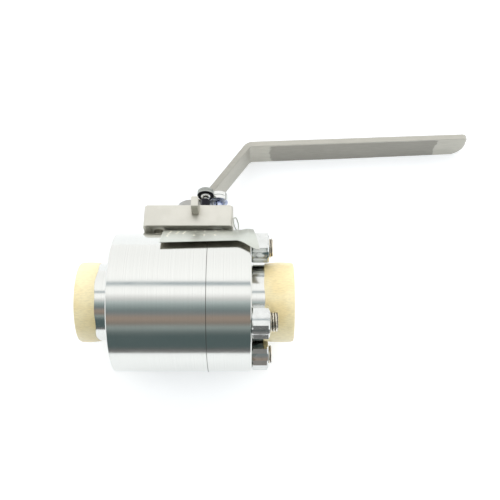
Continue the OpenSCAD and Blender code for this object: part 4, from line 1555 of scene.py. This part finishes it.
@dataclass
class TapeWrap:
    """Masking tape wound round a pipe hub and folded in over its end."""

    finishes: Finishes
    node: str
    name: str
    seed: int
    steps: int = 240
    crease: float = 0.16
    wrinkles: int = 30
    ragged_waves: int = 5
    # The wound tape's thickness, and how far it folds in over the hub's end
    wound: float = 0.45
    fold_in: float = 6.6

    def build(self) -> None:
        """Makes the wrinkled tape from the CAD sleeve's box."""
        lowest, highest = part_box(self.node)
        outward = 1 if highest.x > 0 else -1
        end = (highest.x if outward > 0 else lowest.x) / MM
        edge = (lowest.x if outward > 0 else highest.x) / MM
        hub = highest.z / MM - self.wound
        lip = hub - self.fold_in
        random = np.random.default_rng(self.seed)
        folds = [(random.uniform(0, 2 * math.pi), random.uniform(0.02, 0.08), random.uniform(0.3, 1.0))
                 for _ in range(self.wrinkles)]
        ragged = [(random.uniform(0, 2 * math.pi), random.integers(2, 9), random.uniform(0.05, 0.35))
                  for _ in range(self.ragged_waves)]
        # Share of the width from the inner edge, and height above the hub
        along = [(0.0, 0.02), (0.0, 0.28), (0.03, 0.36), (0.12, 0.5), (0.25, 0.8), (0.4, 1.0), (0.55, 1.05),
                 (0.7, 1.0), (0.8, 0.92), (0.88, 0.76), (0.94, 0.52), (0.975, 0.3), (0.992, 0.12)]
        verts = []
        for s in range(self.steps):
            a = 2 * math.pi * s / self.steps
            ridge = sum(h * math.exp(-(math.remainder(a - c, 2 * math.pi) / w) ** 2) for c, w, h in folds)
            wave = sum(h * math.sin(n * a + p) for p, n, h in ragged)
            start = edge + outward * (0.6 + wave)
            ring = []
            for t, height in along:
                x = start + (end - start) * t
                swell = self.crease * ridge * (0.15 + 0.85 * t) if height > 0.3 else 0.0
                ring.append((x, hub + height - 0.1 + swell))
            # Over the end and in: the tucked face bulges with the wrinkles, its lip is ragged
            tuck = self.crease * 1.6 * ridge
            ring.append((end - outward * 0.04, hub - 0.4))
            for back in (1.2, 2.8, 4.6, 6.0):
                ring.append((end + outward * (-0.22 + min(0.2, tuck * 0.4)),
                             hub - back + 0.4 * wave * (back > 5)))
            ring.append((end - outward * 0.42, lip + 0.5 + 0.4 * wave))
            ring.append((end - outward * 0.44, hub - 0.5))
            for x, r in ring:
                verts.append((metres(x), metres(r * math.cos(a)), metres(r * math.sin(a))))
        faces = ring_faces(self.steps, len(verts) // self.steps, 0, True)
        piece = mesh_piece(self.name, verts, faces, [self.finishes.tape], sharp_deg=38.0)
        hand_over(piece, Body.HOUSING, Slot.TAPE, self.node)
        LOG.info("%s is %.1f mm wide", self.name, abs(end - edge))


def main() -> None:
    """Builds the stage and every sub-assembly in order."""
    logging.basicConfig(level=logging.INFO, format="%(name)s: %(message)s")
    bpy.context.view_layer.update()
    Studio().build()
    finishes = Finishes()
    builders: list = [
        Pressure(finishes),
        Internals(finishes),
        Topworks(finishes),
        Lever(finishes),
        Tag(finishes),
        TapeWrap(finishes, "inlet_tape", "inlet_masking_tape", 5),
        TapeWrap(finishes, "outlet_tape", "outlet_masking_tape", 11),
    ]
    for builder in builders:
        builder.build()


if __name__ == "__main__":
    main()
